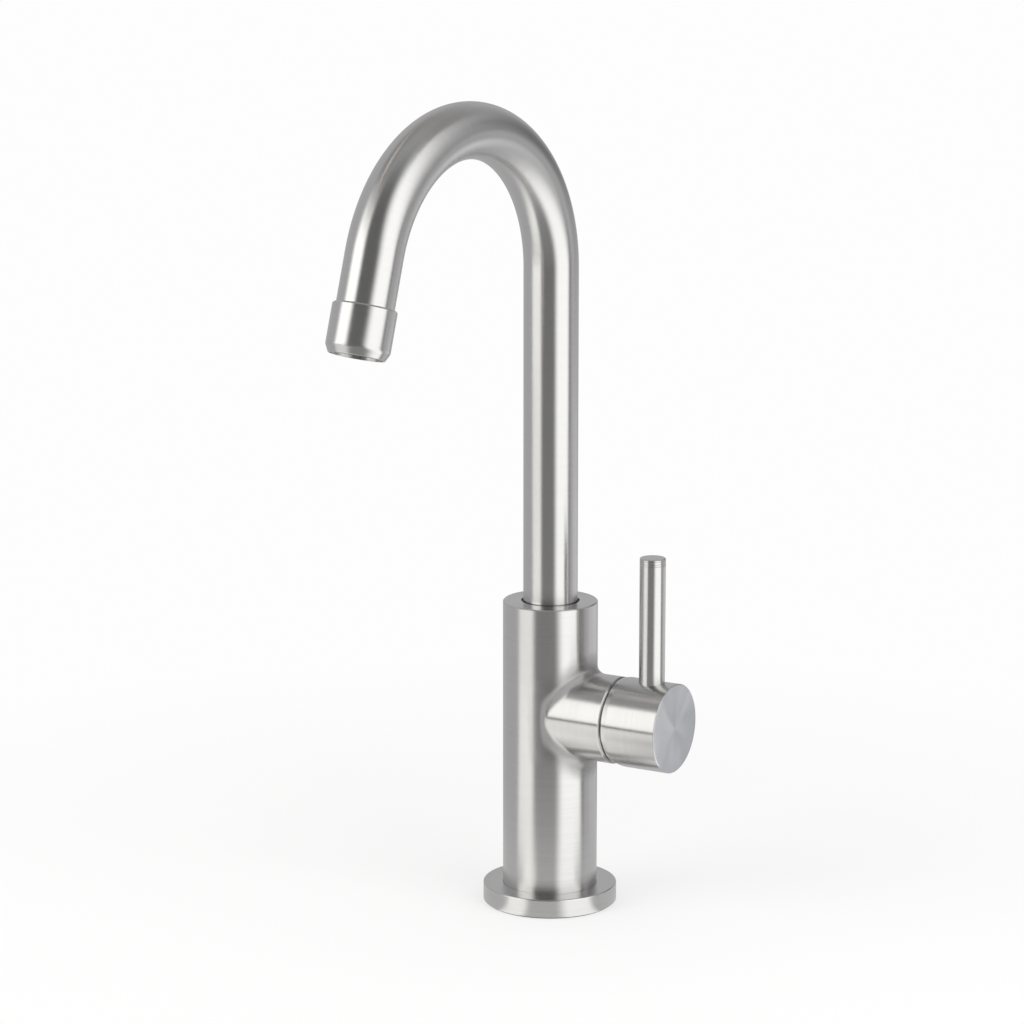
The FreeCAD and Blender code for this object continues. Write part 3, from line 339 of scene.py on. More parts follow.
@dataclass(frozen=True)
class TurnedMetal(Finish):
    """Metal with fine grooves that run round the piece's axis.

    A seam gets painted shade from one x to another, in metres from the centre, that keeps a share of the colour. An
    end face from x face_from on has a lighter colour as painted light, a wider spread of its reflections, and a
    slight bow per metre from the axis. The fillet round the branch is a little rougher than the rest, and painted
    shade makes it darker.
    """

    turning: Turning = Turning.STORED
    centre: tuple[float, float, float] = (0.0, 0.0, 0.0)
    groove_pitch: float = 0.35 * MM
    groove_depth: float = 0.003 * MM
    groove_run: float = 14.0 * MM
    streak_pitch: float = 0.38 * MM
    streak_stretch: float = 0.3
    streak_shade: float = 0.075
    streak_rough: float = 0.06
    smudge: float = 0.05
    smudge_scale: tuple[float, float, float] = (55.0, 55.0, 40.0)
    smudge_range: tuple[float, float] = (0.45, 0.75)
    # painted shade in a seam between parts: (from x, to x, share of the colour kept)
    seam: Optional[tuple[float, float, float]] = None
    face_from: Optional[float] = None
    # painted light: a lighter colour for the end face than for the rest of the steel
    face_painted_light: tuple[float, float, float] = (0.70, 0.71, 0.73)
    face_spread: float = 3.0
    face_bow: float = 7.0
    fillet_blur: float = 0.065
    # painted shade: the fillet's colour is multiplied down towards this factor
    fillet_painted_shade: float = 0.72

    def coords(self, graph: Graph) -> Wire:
        """Object coordinates from the finish's centre."""
        return graph.vector("SUBTRACT", graph.wire("ShaderNodeTexCoord", None, None, "Object"), self.centre)

    def place(self, graph: Graph, turning: Turning) -> Wire:
        """The place round and along the piece: two numbers round it, and the way along its outline.

        Args:
            graph: The material's graph.
            turning: Where it is read from.

        Returns:
            A vector in metres.
        """
        if turning is Turning.STORED:
            return graph.wire("ShaderNodeAttribute", {"attribute_name": BRUSH}, None, "Vector")
        x, y, z = graph.split(self.coords(graph))
        if turning is Turning.ACROSS:
            x, y, z = y, z, x
        radius = graph.maths("SQRT", x * x + y * y)
        return graph.join(x, y, z - radius)

    def marks(self, graph: Graph, place: Wire) -> tuple[Wire, Wire, Wire]:
        """Height of the grooves, the streaks and the smudges at a place.

        Args:
            graph: The material's graph.
            place: The place round and along the piece.

        Returns:
            Three numbers from 0 to 1.
        """
        run = 1.0 / self.groove_run
        streak = run * self.streak_stretch
        return (graph.noise(place, (run, run, 1.0 / self.groove_pitch), 1.0, 0.4),
                graph.noise(place, (streak, streak, 1.0 / self.streak_pitch), 3.0, 0.6),
                graph.noise(place, self.smudge_scale, 3.0, 0.55))

    def worked(self, graph: Graph) -> tuple[Wire, Wire, Wire]:
        """Colour, roughness and normal of the grooved metal.

        Args:
            graph: The material's graph.

        Returns:
            The three wires.
        """
        if self.turning is Turning.JOINED:
            share = self.branch_share(graph)
            pairs = zip(self.marks(graph, self.place(graph, Turning.UPRIGHT)),
                        self.marks(graph, self.place(graph, Turning.ACROSS)))
            grooves, streaks, smudges = (one + (two - one) * share for one, two in pairs)
        else:
            grooves, streaks, smudges = self.marks(graph, self.place(graph, self.turning))
        shade = 1.0 + (streaks - 0.5) * (2 * self.streak_shade)
        # painted shade: the gap at a seam is darkened in the colour
        if self.seam:
            x, _, _ = graph.split(self.coords(graph))
            start, end, left = self.seam
            seam_painted_shade = graph.ramp(x, start - SEAM_EDGE, start) * graph.ramp(x, end, end + SEAM_EDGE, 1.0, 0.0)
            shade = shade * (1.0 - seam_painted_shade * (1.0 - left))
        if self.turning is Turning.JOINED:
            # painted shade darkens the fillet between column and branch
            shade = shade * (1.0 - self.fillet_share(graph) * (1.0 - self.fillet_painted_shade))
        # the end face takes its lighter colour, which is painted light
        paint = graph.blend(self.face_share(graph), (*self.colour, 1.0), (*self.face_painted_light, 1.0))
        colour = graph.scaled(paint, shade)
        rough = (self.roughness + (streaks - 0.5) * self.streak_rough
                 + graph.ramp(smudges, *self.smudge_range, 0.0, self.smudge))
        if self.turning is Turning.JOINED:
            rough = rough + self.fillet_share(graph) * self.fillet_blur
        normal = graph.wire("ShaderNodeBump", None, {
            "Strength": 1.0, "Distance": self.groove_depth, "Height": grooves}, "Normal")
        return colour, rough, normal

    def face_share(self, graph: Graph) -> SocketValue:
        """Where the flat end face, with its lighter colour as painted light, is.

        Args:
            graph: The material's graph.

        Returns:
            1 on that face, else 0.
        """
        if self.face_from is None:
            return 0.0
        x, _, _ = graph.split(self.coords(graph))
        return graph.ramp(x, self.face_from, self.face_from + FACE_EDGE)

    def branch_share(self, graph: Graph) -> Wire:
        """0 on the column and 1 on the branch, with the fillet between them.

        Args:
            graph: The material's graph.

        Returns:
            The share, from 0 to 1.
        """
        x, from_axis = self.out_and_away(graph)
        return graph.ramp(x, 4 * MM, 8 * MM) * graph.ramp(from_axis, 17.8 * MM, 22.1 * MM, 1.0, 0.0)

    def out_and_away(self, graph: Graph) -> tuple[Wire, Wire]:
        """A point's place along and off the branch.

        Args:
            graph: The material's graph.

        Returns:
            How far out it is along the branch, and how far from the branch's axis.
        """
        x, y, z = graph.split(self.coords(graph))
        return x, graph.maths("SQRT", y * y + z * z)

    def fillet_share(self, graph: Graph) -> Wire:
        """Where the fillet between column and branch is.

        Args:
            graph: The material's graph.

        Returns:
            1 in the fillet, and less on both sides of it.
        """
        x, from_axis = self.out_and_away(graph)
        out = graph.ramp(x, 0.0, 5 * MM) * graph.ramp(x, 21 * MM, 25 * MM, 1.0, 0.0)
        near = graph.ramp(from_axis, 17.55 * MM, 18.5 * MM) * graph.ramp(from_axis, 20.5 * MM, 28.0 * MM, 1.0, 0.0)
        return out * near

    def surface(self, graph: Graph) -> Wire:
        """One shader with grooves, streaks and faint smudges."""
        return self.principled(graph, *self.worked(graph))


@dataclass(frozen=True)
class BrushedSteel(TurnedMetal):
    """Satin steel whose reflections spread along the piece, square to its brushing."""

    tilt_step: float = 4.4
    tilt_spread: float = 7.0
    tilt_count: int = 3
    fillet_spread: float = 3.2

    def turned_way(self, graph: Graph, axis: tuple[float, float, float]) -> Wire:
        """Direction along the surface, square to the way round an axis.

        Args:
            graph: The material's graph.
            axis: The axis, through the finish's centre.

        Returns:
            A vector in object space.
        """
        normal = graph.wire("ShaderNodeTexCoord", None, None, "Normal")
        around = graph.vector("NORMALIZE", graph.vector("CROSS_PRODUCT", axis, self.coords(graph)))
        return graph.vector("CROSS_PRODUCT", around, normal)

    def along(self, graph: Graph) -> Wire:
        """Direction along the piece's outline, in the scene.

        Args:
            graph: The material's graph.

        Returns:
            A unit vector.
        """
        upright, across = (0.0, 0.0, 1.0), (1.0, 0.0, 0.0)
        if self.turning is Turning.STORED:
            way = graph.wire("ShaderNodeAttribute", {"attribute_name": ALONG}, None, "Vector")
        elif self.turning is Turning.JOINED:
            up, out = self.turned_way(graph, upright), self.turned_way(graph, across)
            share = self.branch_share(graph)
            way = graph.vector("NORMALIZE", graph.vector(
                "ADD", graph.scaled(out, share), graph.scaled(up, 1.0 - share)))
        else:
            way = self.turned_way(graph, across if self.turning is Turning.ACROSS else upright)
        return graph.wire("ShaderNodeVectorTransform", {
            "vector_type": "VECTOR", "convert_from": "OBJECT", "convert_to": "WORLD"}, {0: way})

    def surface(self, graph: Graph) -> Wire:
        """Several shaders with the normal tilted along the piece, mixed by their weights.

        Args:
            graph: The material's graph.

        Returns:
            The mixed shader.
        """
        colour, rough, normal = self.worked(graph)
        way = self.along(graph)
        face = self.face_share(graph)
        wider = 1.0 + (self.face_spread - 1.0) * face
        if self.turning is Turning.JOINED:
            wider = wider + (self.fillet_spread - 1.0) * self.fillet_share(graph)
        if self.face_from is None:
            bow: SocketValue = 0.0
        else:
            from_axis = graph.length(graph.vector("MULTIPLY", self.coords(graph), (0.0, 1.0, 1.0)))
            bow = face * from_axis * self.face_bow
        mixed, total = None, 0.0
        for step in sorted(range(-self.tilt_count, self.tilt_count + 1), key=abs):
            tilt = step * self.tilt_step
            weight = math.exp(-0.5 * (tilt / self.tilt_spread) ** 2)
            lean = graph.scaled(way, math.tan(math.radians(tilt)) * wider + bow)
            tilted = graph.vector("NORMALIZE", graph.vector("ADD", normal, lean))
            shader = self.principled(graph, colour, rough, tilted)
            total += weight
            mixed = shader if mixed is None else graph.wire(
                "ShaderNodeMixShader", None, {0: weight / total, 1: mixed, 2: shader})
        return mixed


@dataclass(frozen=True)
class Moulded(Finish):
    """Plastic, rubber or ceramic with a fine even grain."""

    grain_size: float = 0.3 * MM
    grain_depth: float = 0.004 * MM
    grain_rough: float = 0.12
    cloud_scale: float = 180.0
    cloud_rough: float = 0.08
    mottle: float = 0.06

    def surface(self, graph: Graph) -> Wire:
        """Fine grain in the surface, and a faint mottle in colour and roughness.

        Args:
            graph: The material's graph.

        Returns:
            The shader.
        """
        coords = graph.wire("ShaderNodeTexCoord", None, None, "Object")
        grain = graph.noise(coords, (1 / self.grain_size,) * 3, 3.0, 0.6)
        cloud = graph.noise(coords, (self.cloud_scale,) * 3, 3.0, 0.6)
        dark = tuple(c * (1 - self.mottle) for c in self.colour)
        light = tuple(min(1.0, c * (1 + self.mottle)) for c in self.colour)
        colour = graph.blend(cloud, (*dark, 1.0), (*light, 1.0))
        rough = self.roughness + (grain - 0.5) * self.grain_rough + (cloud - 0.5) * self.cloud_rough
        normal = graph.wire("ShaderNodeBump", None, {
            "Strength": 1.0, "Distance": self.grain_depth, "Height": grain}, "Normal")
        return self.principled(graph, colour, rough, normal)


STEEL_COLOUR = (0.64, 0.635, 0.625)
STEEL = BrushedSteel("round_brushed_steel", STEEL_COLOUR, 1.0, 0.165)
# its seam darkens the chamfer ring at the branch's end with painted shade
BODY_STEEL = BrushedSteel("body_brushed_steel", STEEL_COLOUR, 1.0, 0.165, Turning.JOINED, HANDLE_AXIS,
                          smudge=0.02, seam=(32.0 * MM, 33.0 * MM, 0.60))
# its seam darkens the gap between hub and dome with painted shade
HUB_STEEL = BrushedSteel("hub_brushed_steel", STEEL_COLOUR, 1.0, 0.165, Turning.ACROSS, HANDLE_AXIS,
                         seam=(31.0 * MM, 33.3 * MM, 0.22), face_from=57.05 * MM)
PLAIN_STEEL = TurnedMetal("machined_steel", (0.58, 0.58, 0.575), 1.0, 0.3, Turning.ACROSS, HANDLE_AXIS,
                          groove_pitch=0.2 * MM)
BRASS = TurnedMetal("turned_brass", (0.72, 0.55, 0.27), 1.0, 0.28, Turning.UPRIGHT, groove_pitch=0.25 * MM)
RUBBER = Moulded("seal_rubber", (0.03, 0.03, 0.03), 0.0, 0.72)
BLACK_PLASTIC = Moulded("black_glide_plastic", (0.02, 0.02, 0.021), 0.0, 0.45)
WHITE_PLASTIC = Moulded("moulded_white_plastic", (0.80, 0.80, 0.78), 0.0, 0.42)
CERAMIC = Moulded("lapped_ceramic", (0.86, 0.84, 0.80), 0.0, 0.16, grain_size=0.08 * MM, grain_depth=0.001 * MM)


# ------------------------------------------------------------------ turned meshes
@dataclass
class Profile:
    """Outline of a turned piece, as corners (radius, height, rounding) in millimetres.

    It runs all round the section. One that starts and ends at radius 0 is closed by the axis.
    """

    corners: Sequence[tuple]
    soften: float = 0.06
    arc_steps: int = 4

    def points(self) -> list[tuple[float, float, float, float, float]]:
        """Radius, height, the normal's two parts and the way along the outline, for each point.

        Returns:
            The points in order, in millimetres.
        """
        corners = [(c[0], c[1], c[2] if len(c) > 2 else self.soften) for c in self.corners]
        on_axis = corners[0][0] == 0 and corners[-1][0] == 0
        count = len(corners)
        area = sum(a[0] * b[1] - b[0] * a[1] for a, b in zip(corners, corners[1:] + corners[:1]))
        side = 1.0 if area > 0 else -1.0
        found: list[tuple[float, float, float, float]] = []

        def normal(a: tuple, b: tuple) -> Vector:
            """Outward normal of the run from a to b."""
            run = Vector((b[0] - a[0], b[1] - a[1])).normalized()
            return Vector((run.y, -run.x)) * side

        for i, (r, z, rounding) in enumerate(corners):
            here = Vector((r, z))
            first, last = on_axis and i == 0, on_axis and i == count - 1
            before, after = corners[i - 1], corners[(i + 1) % count]
            if first or last:
                way = normal(corners[0], corners[1]) if first else normal(corners[-2], corners[-1])
                found.append((r, z, way.x, way.y))
                continue
            n_in, n_out = normal(before, corners[i]), normal(corners[i], after)
            turn = math.acos(max(-1.0, min(1.0, n_in.dot(n_out))))
            back = Vector(before[:2]) - here
            ahead = Vector(after[:2]) - here
            reach = min(rounding * math.tan(turn / 2), ROUND_SHARE * back.length, ROUND_SHARE * ahead.length)
            start, end = here + back.normalized() * reach, here + ahead.normalized() * reach
            steps = self.arc_steps if turn > STRAIGHT else 1
            radius = reach / math.tan(turn / 2) if turn > 1e-6 else 0.0
            bulge = 1.0 if n_in.cross(n_out) * side > 0 else -1.0
            centre = start - n_in * radius * bulge
            for k in range(steps + 1):
                share = k / steps
                n = (n_in * math.sin((1 - share) * turn) + n_out * math.sin(share * turn)) / max(
                    math.sin(turn), 1e-9) if turn > 1e-4 else n_in
                n = n.normalized()
                p = centre + n * radius * bulge if radius else start.lerp(end, share)
                found.append((p.x, p.y, n.x, n.y))
        way = 0.0
        points = []
        for i, (r, z, nr, nz) in enumerate(found):
            if i:
                way += math.hypot(r - found[i - 1][0], z - found[i - 1][1])
            points.append((r, z, nr, nz, way))
        return points


def new_piece(name: str, points: Sequence[Vector], faces: Sequence[Sequence[int]],
              normals: Optional[Sequence[Vector]] = None,
              brush: Optional[Sequence[Sequence[float]]] = None,
              along: Optional[Sequence[Vector]] = None) -> bpy.types.Object:
    """A mesh object at the origin.

    Args:
        name: The piece's name.
        points: Its vertices, in metres.
        faces: Its faces, outwards.
        normals: A shading normal for each vertex.
        brush: The place round and along the piece, for each vertex.
        along: The direction along its outline, for each vertex.

    Returns:
        The new object, in the scene.
    """
    mesh = bpy.data.meshes.new(name)
    mesh.from_pydata([tuple(p) for p in points], [], [tuple(f) for f in faces])
    mesh.update()
    mesh.polygons.foreach_set("use_smooth", [True] * len(mesh.polygons))
    for name_of, values in ((BRUSH, brush), (ALONG, along)):
        if values is not None:
            stored = mesh.attributes.new(name_of, "FLOAT_VECTOR", "POINT")
            stored.data.foreach_set("vector", [number for value in values for number in value])
    if normals is not None:
        mesh.normals_split_custom_set_from_vertices([tuple(n) for n in normals])
    piece = bpy.data.objects.new(name, mesh)
    bpy.context.scene.collection.objects.link(piece)
    return piece


def turned(name: str, profile: Profile, place: Matrix, steps: int = 144) -> bpy.types.Object:
    """A piece turned from a profile.

    Args:
        name: The piece's name.
        profile: Its outline, in millimetres.
        place: Takes the turning axis +Z and the origin to where the piece is, in metres.
        steps: Steps round the axis.

    Returns:
        The new piece.
    """
    outline = profile.points()
    closed = not (outline[0][0] < 1e-9 and outline[-1][0] < 1e-9)
    points, normals, brush, along, rings = [], [], [], [], []
    for r, z, nr, nz, way in outline:
        ring = []
        for k in range(1 if r < 1e-9 else steps):
            a = 2 * math.pi * k / steps
            c, s = math.cos(a), math.sin(a)
            ring.append(len(points))
            points.append(place @ (Vector((r * c, r * s, z)) * MM))
            normals.append(place.to_3x3() @ Vector((nr * c, nr * s, nz)))
            brush.append((r * c * MM, r * s * MM, way * MM))
            along.append(place.to_3x3() @ Vector((-nz * c, -nz * s, nr)))
        rings.append(ring)
    faces = []
    pairs = list(zip(rings, rings[1:])) + ([(rings[-1], rings[0])] if closed else [])
    for low, high in pairs:
        for k in range(steps):
            j = (k + 1) % steps
            corners = [low[k % len(low)], low[j % len(low)], high[j % len(high)], high[k % len(high)]]
            face = list(dict.fromkeys(corners))
            if len(face) > 2:
                faces.append(face)
    first = faces[len(faces) // 2]
    a, b, c = (points[i] for i in first[:3])
    if (b - a).cross(c - a).dot(normals[first[0]]) < 0:
        faces = [face[::-1] for face in faces]
    return new_piece(name, points, faces, normals, brush, along)


def baked(piece: bpy.types.Object) -> bpy.types.Object:
    """Turns a piece and its modifiers into a plain mesh.

    Args:
        piece: The piece.

    Returns:
        The same piece, with no modifiers.
    """
    graph = bpy.context.evaluated_depsgraph_get()
    mesh = bpy.data.meshes.new_from_object(piece.evaluated_get(graph), depsgraph=graph)
    mesh.name = piece.name
    piece.modifiers.clear()
    piece.data = mesh
    return piece


def fit_out(piece: bpy.types.Object, body: str, slot: Slot, *nodes: str) -> bpy.types.Object:
    """Puts a finished piece on its body, in place of CAD nodes.

    Args:
        piece: The piece.
        body: The body that it rides on.
        slot: The record's slot of the nodes that it stands for; not used.
        nodes: The nodes that it stands for.

    Returns:
        The piece.
    """
    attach(piece, body)
    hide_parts(*nodes)
    log.info("%s rides on %s in place of %s", piece.name, body, ", ".join(nodes))
    return piece


# ------------------------------------------------------------------ the faucet's sub-assemblies
@dataclass
class Base:
    """The round flange and the gasket under it."""

    radius: float = 27.25
    top: float = 8.0
    lift: float = 0.5
    ledge_radius: float = 17.2
    ledge_top: float = 3.0
    hole: float = 19.25
    top_round: float = 0.6
    hole_round: float = 0.12
    foot_chamfer: float = 0.3
    flange_steps: int = 192
    gasket_outer: float = 26.4
    gasket_width: float = 5.4
    gasket_thick: float = 2.4
    gasket_round: float = 0.2
    gasket_steps: int = 160
    play: float = 0.05

    def flange(self) -> bpy.types.Object:
        """The flange ring, with the recess for the gasket.

        Returns:
            The piece.
        """
        outer = self.gasket_outer + self.play
        inner = outer - self.gasket_width - 2 * self.play
        ring = turned("base_ring", Profile([
            (self.ledge_radius, self.lift), (inner, self.lift), (inner, self.gasket_thick),
            (outer, self.gasket_thick), (outer, self.lift), (self.radius - self.foot_chamfer, self.lift),
            (self.radius, self.lift + self.foot_chamfer), (self.radius, self.top, self.top_round),
            (self.hole, self.top, self.hole_round), (self.hole, self.ledge_top),
            (self.ledge_radius, self.ledge_top),
        ]), Matrix.Identity(4), self.flange_steps)
        STEEL.dress(ring)
        return fit_out(ring, "faucet_body", Slot.BRUSHED_STEEL, "base_flange")

    def gasket(self) -> bpy.types.Object:
        """The flat ring that seals against the deck.

        Returns:
            The piece.
        """
        inner, outer = self.gasket_outer - self.gasket_width, self.gasket_outer
        ring = turned("deck_gasket", Profile([
            (inner, 0.0), (outer, 0.0), (outer, self.gasket_thick), (inner, self.gasket_thick)],
            soften=self.gasket_round), Matrix.Identity(4), self.gasket_steps)
        RUBBER.dress(ring)
        return fit_out(ring, "faucet_body", Slot.RUBBER, "base_gasket")

    def build(self) -> None:
        """Makes both pieces."""
        self.flange()
        self.gasket()


@dataclass
class Handle:
    """Rod lever and its tip. Heights are from the handle axis."""

    axis_height: float = 80.2
    lever_x: float = 46.8
    lever_radius: float = 5.2
    stud_radius: float = 3.0
    stud_foot: float = 6.0
    seat: float = 17.0
    tip_foot: float = 63.4
    plug_radius: float = 2.5
    plug_length: float = 8.0
    plug_hole: tuple[float, float] = (2.55, 8.5)
    top: float = 68.6
    grooves_down: tuple[float, ...] = (2.75, 1.9, 0.85)
    groove: float = 0.16
    groove_rim: float = 0.04
    groove_floor: float = 0.03
    tip_chamfer: float = 0.3
    tip_round: float = 0.15
    sharp: float = 0.01
    steps: int = 96

    def lever_place(self) -> Matrix:
        """Takes the origin to the handle axis under the lever."""
        return Matrix.Translation((self.lever_x * MM, 0.0, self.axis_height * MM))

    def rod(self) -> bpy.types.Object:
        """The straight rod of the lever.

        Returns:
            The piece.
        """
        hole, depth = self.plug_hole
        rod = turned("lever_bar", Profile([
            (0.0, self.stud_foot), (self.stud_radius, self.stud_foot), (self.stud_radius, self.seat),
            (self.lever_radius, self.seat), (self.lever_radius, self.tip_foot, self.sharp),
            (hole, self.tip_foot), (hole, self.tip_foot - depth), (0.0, self.tip_foot - depth)]),
            self.lever_place(), self.steps)
        STEEL.dress(rod)
        return fit_out(rod, "handle", Slot.BRUSHED_STEEL, "lever_rod")

    def tip(self) -> bpy.types.Object:
        """The end cap with its fine grooves.

        Returns:
            The piece.
        """
        radius, plug_foot = self.lever_radius, self.tip_foot - self.plug_length
        outline = [(0.0, plug_foot), (self.plug_radius, plug_foot), (self.plug_radius, self.tip_foot),
                   (radius, self.tip_foot, self.sharp)]
        for down in self.grooves_down:
            height = self.top - down
            outline += [(radius, height - self.groove, self.groove_rim),
                        (radius - self.groove, height, self.groove_floor),
                        (radius, height + self.groove, self.groove_rim)]
        outline += [(radius, self.top - self.tip_chamfer, self.tip_round),
                    (radius - self.tip_chamfer, self.top, self.tip_round), (0.0, self.top)]
        cap = turned("lever_end_cap", Profile(outline), self.lever_place(), self.steps)
        STEEL.dress(cap)
        return fit_out(cap, "handle", Slot.BRUSHED_STEEL, "lever_tip")

    def build(self) -> None:
        """Makes the pieces."""
        self.rod()
        self.tip()


@dataclass
class Spout:
    """The gooseneck and the collar at its mouth."""

    radius: float = 11.0
    wall: float = 1.0
    foot: float = 123.0
    bend_centre: float = 261.4
    bend_radius: float = 58.7
    bend_deg: float = 162.8
    end_run: float = 26.0
    visible_end: float = 19.3
    collar_length: float = 19.0
    collar_outline: Sequence[tuple] = (
        (9.95, 0.0, 0.1), (10.7, 0.0, 0.3), (12.25, 3.0, 3.0),          # lip and tapered mouth
        (12.25, 18.4, 0.12), (11.65, 19.0, 0.12), (11.05, 19.0),        # top edge, against the tube
        (11.05, 12.3), (10.4, 12.3), (10.4, 1.2), (9.95, 1.2, 0.1))     # seat for the tube, bore for the insert
    collar_steps: int = 160
    rest_turn_deg: float = -4.6
    path_steps: int = 260
    round_steps: int = 112

    def turn(self) -> Matrix:
        """The spout's turn about the upright axis at rest."""
        return Matrix.Rotation(math.radians(self.rest_turn_deg), 4, "Z")

    def sweep_tree(self) -> bpy.types.NodeTree:
        """Node tree that sweeps a ring up the neck, round the bend and down to the collar.

        Returns:
            The tree, with its sizes as named inputs.
        """
        tree = bpy.data.node_groups.new("gooseneck_sweep", "GeometryNodeTree")
        face = tree.interface
        face.new_socket("Geometry", in_out="INPUT", socket_type="NodeSocketGeometry")
        for name in ("Radius", "Foot", "Rise", "Bend Radius", "Bend Angle", "End Run"):
            face.new_socket(name, in_out="INPUT", socket_type="NodeSocketFloat")
        for name in ("Path Steps", "Round Steps"):
            face.new_socket(name, in_out="INPUT", socket_type="NodeSocketInt")
        face.new_socket("Material", in_out="INPUT", socket_type="NodeSocketMaterial")
        face.new_socket("Geometry", in_out="OUTPUT", socket_type="NodeSocketGeometry")
        graph = Graph(tree)
        given = graph.node("NodeGroupInput")
        size = {name: Wire(graph, given.outputs[name]) for name in (
            "Radius", "Foot", "Rise", "Bend Radius", "Bend Angle", "End Run", "Path Steps", "Round Steps",
            "Material")}
        arc = size["Bend Radius"] * size["Bend Angle"]
        length = size["Rise"] + arc + size["End Run"]
        line = graph.wire("GeometryNodeMeshLine", None, {"Count": size["Path Steps"], "Offset": (0.0, 0.0, 0.0)})
        path = graph.wire("GeometryNodeMeshToCurve", None, {0: line})
        index = graph.wire("GeometryNodeInputIndex")
        way = length * index / (size["Path Steps"] - 1)
        up = way.at_most(size["Rise"])
        angle = ((way - size["Rise"]).at_least(0.0) / size["Bend Radius"]).at_most(size["Bend Angle"])
        past = (way - size["Rise"] - arc).at_least(0.0)
        cosine, sine = graph.maths("COSINE", angle), graph.maths("SINE", angle)
        y = size["Bend Radius"] * (cosine - 1.0) - past * sine
        z = size["Foot"] + up + size["Bend Radius"] * sine + past * cosine
        path = graph.wire("GeometryNodeSetPosition", None, {
            "Geometry": path, "Position": graph.join(0.0, y, z)})
        path = graph.wire("GeometryNodeStoreNamedAttribute", {"data_type": "FLOAT", "domain": "POINT"}, {
            "Geometry": path, "Name": "way", "Value": way})
        tangent = graph.wire("GeometryNodeInputTangent")
        path = graph.wire("GeometryNodeStoreNamedAttribute", {"data_type": "FLOAT_VECTOR", "domain": "POINT"}, {
            "Geometry": path, "Name": ALONG, "Value": tangent})
        ring = graph.wire("GeometryNodeCurvePrimitiveCircle", None, {
            "Resolution": size["Round Steps"], "Radius": size["Radius"]})
        position = graph.wire("GeometryNodeInputPosition")
        ring = graph.wire("GeometryNodeStoreNamedAttribute", {"data_type": "FLOAT_VECTOR", "domain": "POINT"}, {
            "Geometry": ring, "Name": "ring", "Value": position})
        skin = graph.wire("GeometryNodeCurveToMesh", None, {"Curve": path, "Profile Curve": ring})
        ring_x, ring_y, _ = graph.split(graph.wire(
            "GeometryNodeInputNamedAttribute", {"data_type": "FLOAT_VECTOR"}, {"Name": "ring"}))
        stored_way = graph.wire("GeometryNodeInputNamedAttribute", {"data_type": "FLOAT"}, {"Name": "way"})
        skin = graph.wire("GeometryNodeStoreNamedAttribute", {"data_type": "FLOAT_VECTOR", "domain": "POINT"}, {
            "Geometry": skin, "Name": BRUSH, "Value": graph.join(ring_x, ring_y, stored_way)})
        skin = graph.wire("GeometryNodeSetShadeSmooth", None, {"Geometry": skin})
        skin = graph.wire("GeometryNodeRealizeInstances", None, {"Geometry": skin})
        skin = graph.wire("GeometryNodeSetMaterial", None, {"Geometry": skin, "Material": size["Material"]})
        graph.node("NodeGroupOutput", None, {0: skin})
        return tree

    def neck(self) -> bpy.types.Object:
        """The gooseneck tube.

        Returns:
            The piece.
        """
        tree = self.sweep_tree()
        piece = new_piece("gooseneck", [], [])
        sweep = piece.modifiers.new("sweep", "NODES")
        sweep.node_group = tree
        values = {"Radius": self.radius * MM, "Foot": self.foot * MM,
                  "Rise": (self.bend_centre - self.foot) * MM, "Bend Radius": self.bend_radius * MM,
                  "Bend Angle": math.radians(self.bend_deg), "End Run": self.end_run * MM,
                  "Path Steps": self.path_steps, "Round Steps": self.round_steps, "Material": STEEL.material()}
        for item in tree.interface.items_tree:
            if item.in_out == "INPUT" and item.name in values:
                sweep[item.identifier] = values[item.name]
        wall = piece.modifiers.new("wall", "SOLIDIFY")
        wall.thickness = self.wall * MM
        wall.offset = -1.0
        baked(piece)
        piece.data.transform(self.turn())
        for stored in piece.data.attributes[ALONG].data:
            stored.vector = self.turn() @ stored.vector
        return fit_out(piece, "spout", Slot.BRUSHED_STEEL, "spout_tube")

    def mouth_place(self) -> Matrix:
        """Place of the collar's mouth.

        Returns:
            A matrix that takes the origin to the mouth, with +Z back up the spout.
        """
        angle = math.radians(self.bend_deg)
        run = self.visible_end + self.collar_length
        y = -self.bend_radius * (1 - math.cos(angle)) - math.sin(angle) * run
        z = self.bend_centre + self.bend_radius * math.sin(angle) + math.cos(angle) * run
        tilt = Matrix.Rotation(math.pi + angle, 4, "X")
        return self.turn() @ Matrix.Translation((0.0, y * MM, z * MM)) @ tilt

    def collar(self) -> bpy.types.Object:
        """The collar with its tapered mouth and lip.

        Returns:
            The piece.
        """
        ring = turned("aerator_collar", Profile(list(self.collar_outline)), self.mouth_place(), self.collar_steps)
        STEEL.dress(ring)
        return fit_out(ring, "spout", Slot.BRUSHED_STEEL, "aerator_housing")

    def build(self) -> None:
        """Makes the pieces."""
        self.neck()
        self.collar()


@dataclass
class InnerParts:
    """The pieces inside, which keep their CAD shape and get their finish."""

    finishes: dict[str, Finish] = field(default_factory=lambda: {
        "brushed_steel": HUB_STEEL, "plain_steel": PLAIN_STEEL, "brass": BRASS, "rubber": RUBBER,
        "black_plastic": BLACK_PLASTIC, "white_plastic": WHITE_PLASTIC, "ceramic": CERAMIC})

    def dress(self, frame: dict) -> None:
        """Gives each carried-over node the finish of its slot.

        Args:
            frame: The loaded frame.
        """
        slots = {part["node"]: part["material_slot"] for part in frame["record"]["subparts"]}
        for name, node in frame["nodes"].items():
            finish = BODY_STEEL if name == "body_shell" else self.finishes[slots[name]]
            finish.dress(node)
            log.info("%s is dressed in %s", name, finish.name)


